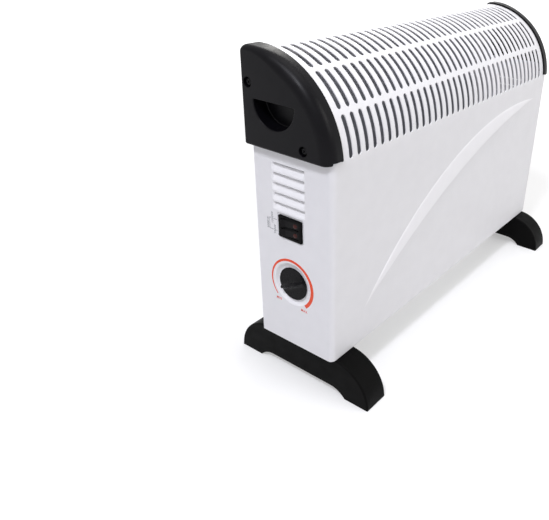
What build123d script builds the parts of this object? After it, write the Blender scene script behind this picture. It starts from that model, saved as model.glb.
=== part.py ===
from build123d import *
import os
from math import cos, degrees, radians, sin, sqrt

# Electric convector heater with a rolled, slotted top, two moulded end caps and two feet.
# X runs along the casing, -Y is the front, +Z is up and the floor is z = 0. All in mm.
# The controls are on the left end, at -X.

# Painted sheet casing
casing_length = 530.0
casing_depth = 107.6
foot_height = 49.5
front_height = 229.0
top_land = 3.8
sheet = 0.8
front_corner = 8.0
rear_bend = 2.5
flange = 13.0
skirt = 12.0
seam_gap = 0.4

# Slots in the rolled top
slot_pitch = 13.5
slot_width = 6.0
slot_angle = 24.0
slot_bridge_angle = 3.0
slot_start_angle = 175.7
slot_rows = 3
slot_cut_from = 0.9
slot_cut_to = 1.1
grille_end_land = 14.6

# Raised crescent on the front, an arc that fades at both tips
crescent_x = 221.0
crescent_z = -440.0
crescent_radius = 646.6
crescent_low_tip = 131.4
crescent_high_tip = 89.65
crescent_width = 27.7
crescent_rise = 1.2
crescent_tip_margin = 6.0

# End caps
cap_wall = 2.4
cap_face_wall = 2.7
cap_back_wall = 3.4
cap_clearance = 0.3
cap_overhang = 7.3
cap_reach = 14.2
cap_drop = 6.5
cap_edge_radius = 9.0
cap_rear_radius = 8.0
cap_small_radius = 2.8
cap_face_bevel = 1.8
cap_inner_chamfer = 4.0
recess_radius = 27.5
recess_depth = 17.0
recess_wall = 2.2
recess_behind_front = 68.8
recess_above_roll = 56.0
cap_screw_boss = 10.8
cap_screw_head_depth = 4.0
cap_upper_screw_inset = 5.7
cap_upper_screw_rise = 70.8
cap_lower_screw_inset = 31.7
cap_lower_screw_rise = 16.6
end_tongue = 17.5

# Feet
foot_reach = 100.0
foot_width = 34.3
foot_end_inset = 6.7
foot_wall = 2.6
foot_rib = 2.0
foot_rib_spacing = 30.0
foot_chamfer = 2.0
arch_height = 10.0
arch_half_flat = 54.5
arch_radius = 12.0
foot_screw_inset = 5.0
foot_boss = 11.0
foot_boss_length = 9.0

# Pressed louvres on both ends
louvre_count = 5
louvre_pitch = 11.0
louvre_length = 43.0
louvre_height = 9.4
louvre_depth = 2.6
louvre_taper = 2.8
louvre_y = 4.5
louvre_below_cap = 13.7

# Rocker switch
switch_y = 3.9
switch_height = 151.0
bezel_length = 32.6
bezel_height = 25.5
bezel_thickness = 2.4
bezel_bevel = 0.5
press_depth = 1.2
press_margin = 2.1
switch_body_length = 28.6
switch_body_height = 22.0
switch_body_depth = 18.0
switch_fit = 0.2
clip_reach = 0.9
clip_width = 5.0
clip_depth = 2.5
rocker_spacing = 10.9
rocker_opening_length = 24.6
rocker_opening_height = 8.5
rocker_side_gap = 0.25
rocker_radius = 12.0
rocker_pivot_depth = 3.7
rocker_tilt = 10.0
rocker_crease_offset = 6.7
rocker_crease_height = 2.9
rocker_lens_end_height = 4.6
rocker_raised_end_height = 5.3
rocker_bottom = 3.0
rocker_pocket = 6.0
pivot_pin_radius = 1.2
pivot_socket_radius = 1.38
pivot_sides = 8
pivot_pin_length = 0.9
pivot_fit = 0.05
lens_radius = 2.65
lens_sides = 16
lens_offset = 6.6
lens_seat_height = 1.5
lens_top_height = 4.6
blade_width = 4.8
blade_length = 7.0
blade_spacing = 12.0

# Thermostat and its knob
knob_y = 3.6
knob_height = 82.5
knob_radius = 20.0
knob_thickness = 2.6
knob_proud = 0.2
knob_rest_angle = 64.0
grip_height = 7.1
grip_base_width = 9.0
grip_top_width = 3.2
grip_base_length = 37.2
grip_top_length = 34.8
dot_radius = 0.8
dot_depth = 0.6
dot_sides = 10
dot_offset = 12.4
dish_radius = 27.0
dish_depth = 3.0
dish_slope = 2.0
shaft_radius = 3.0
shaft_flat = 1.9
shaft_fit = 0.05
bush_radius = 4.5
bush_clearance = 0.3
bush_gap = 0.4
bush_sides = 12
thermostat_length = 28.0
thermostat_height = 34.0
thermostat_depth = 17.0
thermostat_bevel = 3.0
shaft_in_body = 10.0
shaft_in_grip = 3.5

# Heating elements and what carries them
element_y = 2.0
lower_element_height = 70.0
upper_element_height = 130.0
element_end_gap = 8.0
fin_reach = 22.0
fin_thickness = 2.2
core_radius = 6.0
core_sides = 16
rod_radius = 3.0
rod_fit = 0.1
rod_sides = 12
ceramic_side = 13.0
ceramic_neck = 10.0
ceramic_outside = 4.0
ceramic_fit = 0.2
rod_stickout = 3.0
tab_width = 6.3
tab_length = 8.0
partition_from_end = 50.2
partition_height = 226.0
bracket_height = 168.0
bracket_flange = 9.0
wall_gap = 1.3

# Dark heat shield in front of the rear panel
shield_gap = 9.4
shield_low = 40.0
shield_top = 315.0
shield_end_gap = 14.0

# Over-temperature cut-out
cutout_height = 190.0
cutout_radius = 8.0
cutout_thickness = 6.0
cutout_plate = 24.0

# Rear panel, bottom plate and cord gland
rear_end_return = 8.0
rear_slot_count = 9
rear_slot_pitch = 36.0
rear_slot_width = 6.0
rear_slot_low = 16.0
rear_slot_length = 24.0
floor_slot_rows = 2
floor_slot_row_spacing = 36.0
floor_slot_pitch = 60.0
floor_slot_width = 40.0
floor_slot_length = 12.0
floor_slot_margin = 85.0
plate_lap = 3.6
plate_end_gap = 1.8
gland_from_end = 30.0
gland_height = 30.0
gland_bore = 4.0
gland_neck = 13.0
gland_flange = 18.0
gland_flange_thickness = 3.4
gland_inside = 9.0
gland_barb = 1.0
gland_fit = 0.2
terminal_block_size = (24.0, 22.0, 14.0)
terminal_slit = 1.2
terminal_block_x = 25.0
terminal_block_y = -2.1

# Screws and wires
screw_radius = 2.0
screw_fit = 0.1
screw_sides = 6
screw_head_sides = 8
counterbore_sides = 16
screw_head_radius = 3.9
screw_head_height = 2.2
screw_bite = 6.0
rear_screw_count = 3
rear_screw_pitch = 176.0
wire_radius = 1.3
wire_sides = 5
wire_bend = 3.5
wire_loop = 8.0

# Places worked out from the sizes above
over = 1.0
half_length = casing_length / 2
half_depth = casing_depth / 2
base = foot_height
roll_radius = casing_depth - top_land
roll_y = half_depth - top_land
roll_z = base + front_height
crown = roll_z + roll_radius
rear_face = half_depth - sheet
rear_inner = rear_face - sheet
rear_top = crown - rear_bend - cap_clearance
cap_bottom = roll_z + cap_drop
cap_outer = half_length + cap_overhang
cap_inner_edge = half_length - cap_reach
cap_back = half_depth + cap_clearance + cap_back_wall
cap_radius = roll_radius + cap_clearance + cap_wall
recess_y = -half_depth + recess_behind_front
recess_top = roll_z + recess_above_roll
cap_screws_at = (
    (half_depth - cap_upper_screw_inset, roll_z + cap_upper_screw_rise, half_length - sheet),
    (-half_depth + cap_lower_screw_inset, roll_z + cap_lower_screw_rise, half_length),
)
foot_outer_x = half_length - foot_end_inset
foot_x = foot_outer_x - foot_width / 2
foot_screw_y = half_depth - foot_screw_inset
switch_z = base + switch_height
bezel_back = -half_length + press_depth
bezel_front = bezel_back - bezel_thickness
pivot_x = bezel_front + rocker_pivot_depth
rocker_width = rocker_opening_height - 2 * rocker_side_gap
upper_rocker_z = switch_z + rocker_spacing / 2
lower_rocker_z = switch_z - rocker_spacing / 2
knob_z = base + knob_height
dish_floor = -half_length + dish_depth
knob_front = -half_length - knob_proud
knob_back = knob_front + knob_thickness
bush_end = knob_back + bush_gap
partition_x = -half_length + partition_from_end
bracket_x = -partition_x
floor_top = base + 2 * sheet
element_end = bracket_x - element_end_gap
gland_x = -half_length + gland_from_end
gland_z = base + gland_height


def block(x0, x1, y0, y1, z0, z1):
    """Box between two corners."""
    middle = Pos((x0 + x1) / 2, (y0 + y1) / 2, (z0 + z1) / 2)
    return middle * Box(abs(x1 - x0), abs(y1 - y0), abs(z1 - z0))


def rod_x(radius, x0, x1, y, z):
    """Cylinder along X."""
    return Pos((x0 + x1) / 2, y, z) * Rot(0, 90, 0) * Cylinder(radius, abs(x1 - x0))


def rod_y(radius, y0, y1, x, z):
    """Cylinder along Y."""
    return Pos(x, (y0 + y1) / 2, z) * Rot(90, 0, 0) * Cylinder(radius, abs(y1 - y0))


def rod_z(radius, z0, z1, x, y):
    """Cylinder along Z."""
    return Pos(x, y, (z0 + z1) / 2) * Cylinder(radius, abs(z1 - z0))


def prism(plane, face, amount):
    """Extrude a face drawn on a plane along that plane's normal."""
    return extrude(plane * face, amount=amount, dir=plane.z_dir)


def small_bar(start, direction, length, radius, sides):
    """Small bar or hole with flats in place of a full round."""
    return prism(Plane(origin=start, z_dir=direction), RegularPolygon(radius, sides), length)


def side_prism(face, x0, x1):
    """Extrude a side view, drawn with Y across and Z up, from x0 to x1."""
    return prism(Plane.YZ.offset(x0), face, x1 - x0)


def at_right(part):
    """The same piece on the right end."""
    return mirror(part, about=Plane.YZ)


def casing_block(inset):
    """Closed block with the casing's outline, each face moved in by inset."""
    front = -half_depth + inset
    back = half_depth - inset
    low = base + inset
    radius = roll_radius - inset
    end = half_length - inset
    top = roll_z + radius
    walls = Polyline((roll_y, top), (back, top), (back, low), (front, low), (front, roll_z))
    roll = CenterArc((roll_y, roll_z), radius, 90, 90)
    side = make_face([*walls.edges(), roll])
    top_back = side.vertices().sort_by_distance((back, top, 0))[0]
    side = fillet(top_back, rear_bend - inset)
    body = side_prism(side, -end, end)
    for sign in (-1, 1):
        body -= corner_waste(sign, inset)
    return body


def corner_waste(sign, inset):
    """What the rounding takes off an upright front corner, up to just inside the cap."""
    axis_x = sign * (half_length - front_corner)
    axis_y = -half_depth + front_corner
    top = cap_bottom + over
    corner = block(axis_x, sign * (half_length + over), -half_depth - over, axis_y, base - over, top)
    return corner - rod_z(front_corner - inset, base - over, top, axis_x, axis_y)


def slot_cutters():
    """One row of slots after another, square to the roll."""
    span = casing_length - 2 * (cap_reach + grille_end_land)
    count = round(span / slot_pitch) + 1
    length = 2 * roll_radius * sin(radians(slot_angle / 2))
    cutters = []
    for row in range(slot_rows):
        angle = radians(slot_start_angle - slot_angle / 2 - row * (slot_angle + slot_bridge_angle))
        out = (0, cos(angle), sin(angle))
        start = roll_radius * slot_cut_from
        origin = (0, roll_y + start * out[1], roll_z + start * out[2])
        plane = Plane(origin=origin, x_dir=(1, 0, 0), z_dir=out)
        for index in range(count):
            x = (index - (count - 1) / 2) * slot_pitch
            slot = Pos(x, 0) * Rectangle(slot_width, length)
            cutters.append(prism(plane, slot, roll_radius * (slot_cut_to - slot_cut_from)))
    return cutters


def crescent_face(margin):
    """Crescent between two arcs through the same tips, shrunk by margin."""
    centre_z = base + crescent_z

    def point(radius, angle):
        return (crescent_x + radius * cos(radians(angle)), centre_z + radius * sin(radians(angle)))

    tip_margin = degrees(margin * crescent_tip_margin / crescent_radius)
    low_tip = point(crescent_radius, crescent_low_tip - tip_margin)
    high_tip = point(crescent_radius, crescent_high_tip + tip_margin)
    middle = (crescent_low_tip + crescent_high_tip) / 2
    half_width = crescent_width / 2 - margin
    upper = ThreePointArc(low_tip, point(crescent_radius + half_width, middle), high_tip)
    lower = ThreePointArc(high_tip, point(crescent_radius - half_width, middle), low_tip)
    return make_face([upper, lower])


def front_plane_prism(face, y0, y1):
    """Extrude a front view, drawn with X across and Z up, from y0 to y1."""
    view = Plane(origin=(0, y0, 0), x_dir=(1, 0, 0), z_dir=(0, -1, 0))
    return prism(view, face, y0 - y1)


def louvre_wedge(top, shift):
    """Wedge of one louvre, deepest under its slit, with sloping ends, moved in by shift."""
    outside = -half_length + shift
    low = top - louvre_height
    half = louvre_length / 2
    view = Plane(origin=(0, louvre_y - half, 0), x_dir=(1, 0, 0), z_dir=(0, -1, 0))
    wedge = Polygon((outside, low), (outside, top), (outside + louvre_depth, top), align=None)
    wedge = prism(view, wedge, -louvre_length)
    plan = Polygon(
        (outside, louvre_y - half),
        (outside + louvre_depth, louvre_y - half + louvre_taper),
        (outside + louvre_depth, louvre_y + half - louvre_taper),
        (outside, louvre_y + half),
        align=None,
    )
    return wedge & prism(Plane.XY.offset(low), plan, louvre_height)


def dish(extra):
    """Shallow dish round the knob, as a frustum grown by extra."""
    mouth = dish_radius + extra
    floor = mouth - dish_slope
    depth = dish_depth + extra
    profile = Polygon((0, 0), (mouth, 0), (floor, depth), (0, depth), align=None)
    plane = Plane(origin=(-half_length, knob_y, knob_z), x_dir=(0, 1, 0), z_dir=(0, 0, -1))
    return revolve(plane * profile, Axis((-half_length, knob_y, knob_z), (1, 0, 0)))


def switch_press(extra):
    """Rectangular pressed recess round the switch."""
    half = bezel_length / 2 + press_margin + extra
    low = switch_z - bezel_height / 2 - press_margin / 2 - extra
    high = switch_z + bezel_height / 2 + press_margin + extra
    depth = press_depth + extra
    return block(-half_length, -half_length + depth, switch_y - half, switch_y + half, low, high)


def front_casing():
    """Front, rolled slotted top, both ends and rear skirt, folded from one sheet."""
    end = half_length - sheet
    top_edge = crown - skirt
    tongue_top = cap_bottom + end_tongue
    shell = casing_block(0) - casing_block(sheet)
    shell -= block(-half_length - over, half_length + over, rear_face - over / 2, half_depth + over,
                   base - over, top_edge)
    shell -= block(-half_length + flange, half_length - flange, -half_depth + flange, half_depth,
                   base - over, base + sheet)
    shell -= block(-end, end, rear_face - flange - seam_gap, half_depth, base - over, base + sheet)
    for sign in (-1, 1):
        edge = sign * (half_length + over)
        front = -half_depth - over
        shell -= block(sign * end, edge, front, half_depth + over, tongue_top, crown + over)
        shell -= block(sign * end, edge, front, -half_depth + flange, cap_bottom + over, crown + over)

    raised = -half_depth - crescent_rise
    shell += front_plane_prism(crescent_face(0), -half_depth + sheet, raised)
    shell -= front_plane_prism(crescent_face(sheet), -half_depth + sheet + over, raised + sheet)

    waste = slot_cutters()
    backing = []
    for index in range(louvre_count):
        top = cap_bottom - louvre_below_cap - index * louvre_pitch
        pressed = louvre_wedge(top, sheet)
        recess = louvre_wedge(top, 0)
        backing += [pressed, at_right(pressed)]
        waste += [recess, at_right(recess)]
    shell += backing + [dish(sheet), switch_press(sheet)]
    waste += [dish(0), switch_press(0)]
    bush_hole = bush_radius + bush_clearance
    waste.append(small_bar((-half_length, knob_y, knob_z), (1, 0, 0), 2 * dish_depth, bush_hole, bush_sides))
    half = switch_body_length / 2 + switch_fit
    rise = switch_body_height / 2 + switch_fit
    waste.append(block(-half_length, -half_length + 2 * dish_depth, switch_y - half, switch_y + half,
                       switch_z - rise, switch_z + rise))

    lower_y, lower_z, _ = cap_screws_at[1]
    waste.append(screw_hole((-half_length - over, lower_y, lower_z), (1, 0, 0), casing_length + 2 * over))
    for x in (-foot_x, foot_x):
        waste.append(screw_hole((x, -foot_screw_y, base - over), (0, 0, 1), sheet + 2 * over))
    for x in rear_screw_places():
        waste.append(screw_hole((x, half_depth + over, rear_screw_z()), (0, -1, 0), sheet + over + over / 4))
    return shell - waste


def screw_hole(start, direction, length):
    """Pilot hole that a screw's shank sits in."""
    return small_bar(start, direction, length, screw_radius + screw_fit, screw_sides)


def rear_screw_places():
    """X of the screws through the rear skirt."""
    return [(index - (rear_screw_count - 1) / 2) * rear_screw_pitch for index in range(rear_screw_count)]


def rear_screw_z():
    """Height of the screws, in the middle of the skirt's flat part."""
    return crown - (skirt + rear_bend) / 2


def rear_panel():
    """Flat back with folded ends, air slots low down and a hole for the cord gland."""
    end = half_length - sheet
    front = rear_face - flange
    panel = block(-end, end, rear_inner, rear_face, base, rear_top)
    panel += block(-end, end, front, rear_face, rear_top - sheet, rear_top)
    panel += block(-half_length + flange + seam_gap, half_length - flange - seam_gap, front, rear_face,
                   base, base + sheet)
    fold = rear_face - rear_end_return
    for sign in (-1, 1):
        panel += block(sign * end, sign * (end - sheet), fold, rear_face, base, rear_top)
    outside = rear_face + over
    waste = [square_y(gland_neck + 2 * gland_fit, rear_inner - over, outside, gland_x, gland_z)]
    low = base + rear_slot_low
    for index in range(rear_slot_count):
        x0 = (index - (rear_slot_count - 1) / 2) * rear_slot_pitch - rear_slot_width / 2
        x1 = x0 + rear_slot_width
        waste.append(block(x0, x1, rear_inner - over, outside, low, low + rear_slot_length))
    for x in rear_screw_places():
        waste.append(screw_hole((x, outside, rear_screw_z()), (0, -1, 0), sheet + 2 * over))
    for x in (-foot_x, foot_x):
        waste.append(screw_hole((x, foot_screw_y, base - over), (0, 0, 1), sheet + 2 * over))
    upper_y, upper_z, _ = cap_screws_at[0]
    waste.append(screw_hole((-half_length, upper_y, upper_z), (1, 0, 0), casing_length))
    return panel - waste


def bottom_plate():
    """Slotted plate on the casing's bottom flanges, where the cold air comes in."""
    end = half_length - plate_end_gap
    front = -half_depth + flange - plate_lap
    back = rear_face - flange + plate_lap
    plate = block(-end, end, front, back, base + sheet, floor_top)
    span = casing_length - 2 * floor_slot_margin
    count = int(span / floor_slot_pitch) + 1
    waste = []
    for row in range(floor_slot_rows):
        y = (row - (floor_slot_rows - 1) / 2) * floor_slot_row_spacing
        for index in range(count):
            x = (index - (count - 1) / 2) * floor_slot_pitch
            slot = Pos(x, y) * Rectangle(floor_slot_width, floor_slot_length)
            waste.append(prism(Plane.XY.offset(base), slot, 2 * sheet + over))
    return plate - waste


def rolled_section(outer_x, inner_x, radius, back, corner):
    """Quarter turn about the roll's axis and a straight piece behind it, with one eased edge."""
    face_x = -outer_x
    edge_x = -inner_x
    plane = Plane(origin=(0, roll_y, roll_z), x_dir=(1, 0, 0), z_dir=(0, -1, 0))
    section = corner(face_x, edge_x, radius)
    turn = revolve(plane * section, Axis((0, roll_y, roll_z), (1, 0, 0)), revolution_arc=90)
    straight = prism(plane, section, -(back - roll_y))
    return turn + straight


def eased_edge(face_x, edge_x, radius):
    """Section whose outer edge is rounded off in two flats."""
    r = cap_edge_radius
    flats = []
    for angle in (90, 135, 180):
        flats.append((face_x + r + r * cos(radians(angle)), radius - r + r * sin(radians(angle))))
    return Polygon((face_x, 0), (edge_x, 0), (edge_x, radius), *flats, align=None)


def bevelled_edge(face_x, edge_x, radius):
    """Section whose outer edge is bevelled."""
    c = cap_inner_chamfer
    bevel = ((face_x + c, radius), (face_x, radius - c))
    return Polygon((face_x, 0), (edge_x, 0), (edge_x, radius), *bevel, align=None)


def half_disc(radius, top):
    """Lower half of a disc, with its straight edge at the given height."""
    disc = Pos(recess_y, recess_top) * Circle(radius)
    keep = Pos(recess_y, top - radius * 2) * Rectangle(radius * 4, radius * 4)
    return disc & keep


def left_end_cap():
    """Moulded cap over the end of the rolled top, with a finger recess and two screw bosses."""
    top = roll_z + cap_radius
    body = rolled_section(cap_outer, cap_inner_edge, cap_radius, cap_back, eased_edge)
    front = roll_y - cap_radius * 1.1
    side = Polyline((front, cap_bottom), (cap_back, cap_bottom), (cap_back, top), (front, top), close=True)
    side = make_face(side)
    corners = side.vertices()
    side = fillet(corners.sort_by_distance((cap_back, top, 0))[0], cap_rear_radius)
    side = fillet(side.vertices().sort_by_distance((cap_back, cap_bottom, 0))[0], cap_small_radius)
    trim = side_prism(side, -cap_outer, -cap_inner_edge)
    outer_face = trim.faces().sort_by(Axis.X)[0]
    trim = chamfer(outer_face.edges(), cap_face_bevel)
    body = body & trim

    inner_x = cap_outer - cap_face_wall
    inner_back = half_depth + cap_clearance
    inner_radius = roll_radius + cap_clearance
    hollow = rolled_section(inner_x, cap_inner_edge - over, inner_radius, inner_back, bevelled_edge)
    floor_end = -half_length - cap_clearance
    floor = block(-inner_x, floor_end, front, cap_back, cap_bottom - 2 * over, cap_bottom + cap_wall)
    open_end = -cap_inner_edge + over
    bend_y = inner_back - rear_bend
    bend_z = crown + cap_clearance - rear_bend
    rear_corner = block(-inner_x, open_end, bend_y, cap_back, bend_z, top)
    rear_corner -= rod_x(rear_bend, -inner_x, open_end, bend_y, bend_z)
    hollow = hollow - floor - rear_corner
    body -= hollow

    pocket_floor = -cap_outer + recess_depth
    within_face = -cap_outer + cap_face_wall / 2
    pocket = half_disc(recess_radius + recess_wall, recess_top + recess_wall)
    body += side_prism(pocket, within_face, pocket_floor + recess_wall)
    half = cap_screw_boss / 2
    for y, z, seat in cap_screws_at:
        body += block(within_face, -seat, y - half, y + half, z - half, z + half)
    body -= side_prism(half_disc(recess_radius, recess_top), -cap_outer - over, pocket_floor)
    for y, z, seat in cap_screws_at:
        body -= small_bar((-cap_outer - over, y, z), (1, 0, 0), cap_screw_head_depth + over,
                          screw_head_radius + cap_clearance, counterbore_sides)
        body -= screw_hole((-cap_outer, y, z), (1, 0, 0), cap_outer - seat + over)
    return body


def foot_outline():
    """Side view of a foot: rounded toes, flat top and an arch underneath."""
    arch_axis = arch_height - arch_radius
    sole_inner = arch_half_flat + sqrt(arch_radius ** 2 - arch_axis ** 2)
    toe = foot_reach - foot_height
    knee_y = arch_half_flat + arch_radius * cos(radians(45))
    knee_z = arch_axis + arch_radius * sin(radians(45))
    edges = [
        CenterArc((-toe, 0), foot_height, 90, 90),
        Line((-toe, foot_height), (toe, foot_height)),
        CenterArc((toe, 0), foot_height, 0, 90),
        Line((foot_reach, 0), (sole_inner, 0)),
        ThreePointArc((sole_inner, 0), (knee_y, knee_z), (arch_half_flat, arch_height)),
        Line((arch_half_flat, arch_height), (-arch_half_flat, arch_height)),
        ThreePointArc((-arch_half_flat, arch_height), (-knee_y, knee_z), (-sole_inner, 0)),
        Line((-sole_inner, 0), (-foot_reach, 0)),
    ]
    return make_face(edges)


def left_foot():
    """Moulded foot, hollow underneath, with cross ribs and two screw bosses."""
    x0 = -foot_outer_x
    x1 = x0 + foot_width
    outside = side_prism(foot_outline(), x0, x1)
    sides = outside.faces().sort_by(Axis.X)
    rims = sides[0].edges() + sides[-1].edges()
    foot = chamfer([rim for rim in rims if rim.bounding_box().max.Z > foot_height / 2], foot_chamfer)
    toe = foot_reach - foot_height
    inner_radius = foot_height - foot_wall
    cavity_edges = [
        CenterArc((-toe, 0), inner_radius, 90, 90),
        Line((-toe, inner_radius), (toe, inner_radius)),
        CenterArc((toe, 0), inner_radius, 0, 90),
        Line((toe + inner_radius, 0), (toe + inner_radius, -over)),
        Line((toe + inner_radius, -over), (-toe - inner_radius, -over)),
        Line((-toe - inner_radius, -over), (-toe - inner_radius, 0)),
    ]
    cavity = side_prism(make_face(cavity_edges), x0 + foot_wall, x1 - foot_wall)
    within_top = foot_height - foot_wall / 2
    bosses = []
    for y in (-foot_screw_y, foot_screw_y):
        boss = Pos(-foot_x, y) * Rectangle(foot_boss, foot_boss)
        low = foot_height - foot_boss_length
        bosses.append(prism(Plane.XY.offset(low), boss, within_top - low))
    ribs = []
    for y in (-foot_rib_spacing / 2, foot_rib_spacing / 2):
        rib = Pos(-foot_x, y) * Rectangle(foot_width - foot_wall, foot_rib)
        ribs.append(prism(Plane.XY, rib, within_top) & outside)
    foot = foot - cavity + ribs + bosses
    for y in (-foot_screw_y, foot_screw_y):
        foot -= screw_hole((-foot_x, y, 0), (0, 0, 1), foot_height + over)
    return foot


def screw(head_at, direction, length):
    """Pan head screw with its head's underside at head_at and its shank along direction."""
    shank = small_bar(head_at, direction, length, screw_radius, screw_sides)
    return shank + small_bar(head_at, direction, -screw_head_height, screw_head_radius, screw_head_sides)


def cap_screws():
    """Two screws in each end cap."""
    screws = []
    for y, z, seat in cap_screws_at:
        head_x = -cap_outer + cap_screw_head_depth
        one = screw((head_x, y, z), (1, 0, 0), -seat + screw_bite - head_x)
        screws += [one, at_right(one)]
    return screws


def foot_screws():
    """Two screws up through each foot into the casing's bottom flanges."""
    screws = []
    for x in (-foot_x, foot_x):
        for y in (-foot_screw_y, foot_screw_y):
            low = foot_height - foot_boss_length
            screws.append(screw((x, y, low), (0, 0, 1), foot_boss_length + screw_bite))
    return screws


def rear_screws():
    """Screws through the rear skirt into the rear panel."""
    return [screw((x, half_depth, rear_screw_z()), (0, -1, 0), screw_bite) for x in rear_screw_places()]


def switch_housing():
    """Snap-in double switch body with its bezel, two rocker pockets and pivot sockets."""
    bezel = Pos(switch_y, switch_z) * Rectangle(bezel_length, bezel_height)
    body = side_prism(bezel, bezel_front, bezel_back)
    body = chamfer(body.faces().sort_by(Axis.X)[0].edges(), bezel_bevel)
    rear = Pos(switch_y, switch_z) * Rectangle(switch_body_length, switch_body_height)
    body += side_prism(rear, bezel_back, bezel_back + switch_body_depth)
    clips = Rectangle(switch_body_length + 2 * (switch_fit + clip_reach), clip_width)
    clip_x = bezel_back + sheet
    body += side_prism(Pos(switch_y, switch_z) * clips, clip_x, clip_x + clip_depth)
    socket = rocker_opening_height / 2 + pivot_pin_length - rocker_side_gap + pivot_fit
    for z in (lower_rocker_z, upper_rocker_z):
        opening = Pos(switch_y, z) * Rectangle(rocker_opening_length, rocker_opening_height)
        body -= side_prism(opening, bezel_front - over, pivot_x + rocker_pocket)
        low_end = (pivot_x, switch_y, z - socket)
        body -= small_bar(low_end, (0, 0, 1), 2 * socket, pivot_socket_radius, pivot_sides)
    return body


def rocker_frame(z):
    """Plane through a rocker's pivot: +Y across, outwards up, turned to its rest position."""
    tilt = radians(rocker_tilt)
    return Plane(origin=(pivot_x, switch_y, z), x_dir=(-sin(tilt), cos(tilt), 0), z_dir=(0, 0, 1))


def rocker(z):
    """Rocker with a creased face, round ends, two pivot pins and a seat for its lens."""
    frame = rocker_frame(z)
    far = rocker_radius + over
    raised = (far, rocker_raised_end_height)
    crease = (rocker_crease_offset, rocker_crease_height)
    top = (raised, crease, (-far, rocker_lens_end_height))
    profile = Polygon((-far, -rocker_bottom), (far, -rocker_bottom), *top, align=None) & Circle(rocker_radius)
    body = extrude(frame * profile, amount=rocker_width / 2, both=True)
    pin = rocker_width / 2 + pivot_pin_length
    body += small_bar((pivot_x, switch_y, z - pin), (0, 0, 1), 2 * pin, pivot_pin_radius, pivot_sides)
    return body - lens_cylinder(z, lens_radius + pivot_fit, lens_top_height + 2 * over)


def lens_cylinder(z, radius, top):
    """Round space of a lens, square to the rocker."""
    frame = rocker_frame(z)
    origin = frame.from_local_coords((-lens_offset, lens_seat_height, 0))
    plane = Plane(origin=origin, x_dir=(0, 0, 1), z_dir=frame.y_dir)
    return prism(plane, RegularPolygon(radius, lens_sides), top - lens_seat_height)


def lens(z):
    """Red pilot lens set into a rocker."""
    return lens_cylinder(z, lens_radius, lens_top_height)


def switch_blades():
    """Push-on blades behind the switch."""
    back = bezel_back + switch_body_depth
    blades = []
    for z in (lower_rocker_z, upper_rocker_z):
        for y in (switch_y - blade_spacing / 2, switch_y + blade_spacing / 2):
            blades.append(side_prism(Pos(y, z) * Rectangle(blade_width, sheet), back, back + blade_length))
    return blades


def grip_view(base_width, top_width):
    """Grip seen from one side, narrower at the top, with outwards as its second axis."""
    foot = -knob_front - knob_thickness / 2
    slope = (base_width - top_width) / 2 / grip_height * knob_thickness / 2
    low = base_width / 2 + slope
    high = top_width / 2
    tip = -knob_front + grip_height
    return Polygon((-low, foot), (low, foot), (high, tip), (-high, tip), align=None)


def thermostat_knob():
    """Round knob with a narrow grip across it and a dot at its pointing end."""
    turn = Pos(0, knob_y, knob_z) * Rot(knob_rest_angle, 0, 0)
    disc = rod_x(knob_radius, knob_front, knob_back, 0, 0)
    top = knob_front - grip_height
    across = Plane(origin=(0, 0, -knob_radius), x_dir=(0, 1, 0), z_dir=(0, 0, 1))
    along = Plane(origin=(0, -knob_radius, 0), x_dir=(0, 0, -1), z_dir=(0, 1, 0))
    grip = prism(across, grip_view(grip_base_width, grip_top_width), 2 * knob_radius)
    grip = grip & prism(along, grip_view(grip_base_length, grip_top_length), 2 * knob_radius)
    dot = small_bar((top - over, 0, dot_offset), (1, 0, 0), over + dot_depth, dot_radius, dot_sides)
    knob = disc + grip - dot
    bore = rod_x(shaft_radius + shaft_fit, knob_front - shaft_in_grip - shaft_fit, knob_back + over, 0, 0)
    bore -= block(top, 0, shaft_flat + shaft_fit, knob_radius, -knob_radius, knob_radius)
    return turn * (knob - bore)


def thermostat_shaft():
    """Flatted spindle between the thermostat and the knob."""
    turn = Pos(0, knob_y, knob_z) * Rot(knob_rest_angle, 0, 0)
    start = knob_front - shaft_in_grip
    end = dish_floor + sheet + shaft_in_body
    shaft = rod_x(shaft_radius, start, end, 0, 0)
    shaft -= block(start - over, knob_back + over / 4, shaft_flat, knob_radius, -knob_radius, knob_radius)
    return turn * shaft


def thermostat_body():
    """Thermostat on the back of the dish, with the bush that carries the spindle."""
    face = dish_floor + sheet
    case = Pos(knob_y, knob_z) * Rectangle(thermostat_length, thermostat_height)
    body = side_prism(chamfer(case.vertices(), thermostat_bevel), face, face + thermostat_depth)
    body += small_bar((face, knob_y, knob_z), (-1, 0, 0), face - bush_end, bush_radius, bush_sides)
    bore_end = face + shaft_in_body + shaft_fit
    return body - rod_x(shaft_radius + shaft_fit, bush_end - over, bore_end, knob_y, knob_z)


def cross_wall(height):
    """Upright sheet across the casing, folded at the bottom and the back."""
    x0 = partition_x
    x1 = x0 + sheet
    front = -half_depth + sheet + wall_gap
    fold = x0 + bracket_flange
    wall = block(x0, x1, front, rear_inner, floor_top, base + height)
    wall += block(x0, fold, front, rear_inner - flange, floor_top, floor_top + sheet)
    wall += block(x0, fold, rear_inner - sheet, rear_inner, floor_top, base + height)
    side = ceramic_neck / 2 + ceramic_fit
    for z in (base + lower_element_height, base + upper_element_height):
        wall -= block(x0 - over, x1 + over, element_y - side, element_y + side, z - side, z + side)
    return wall


def control_partition():
    """Wall between the controls and the heating chamber."""
    return cross_wall(partition_height)


def element_bracket():
    """Lower wall that carries the elements' right ends."""
    return at_right(cross_wall(bracket_height))


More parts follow.
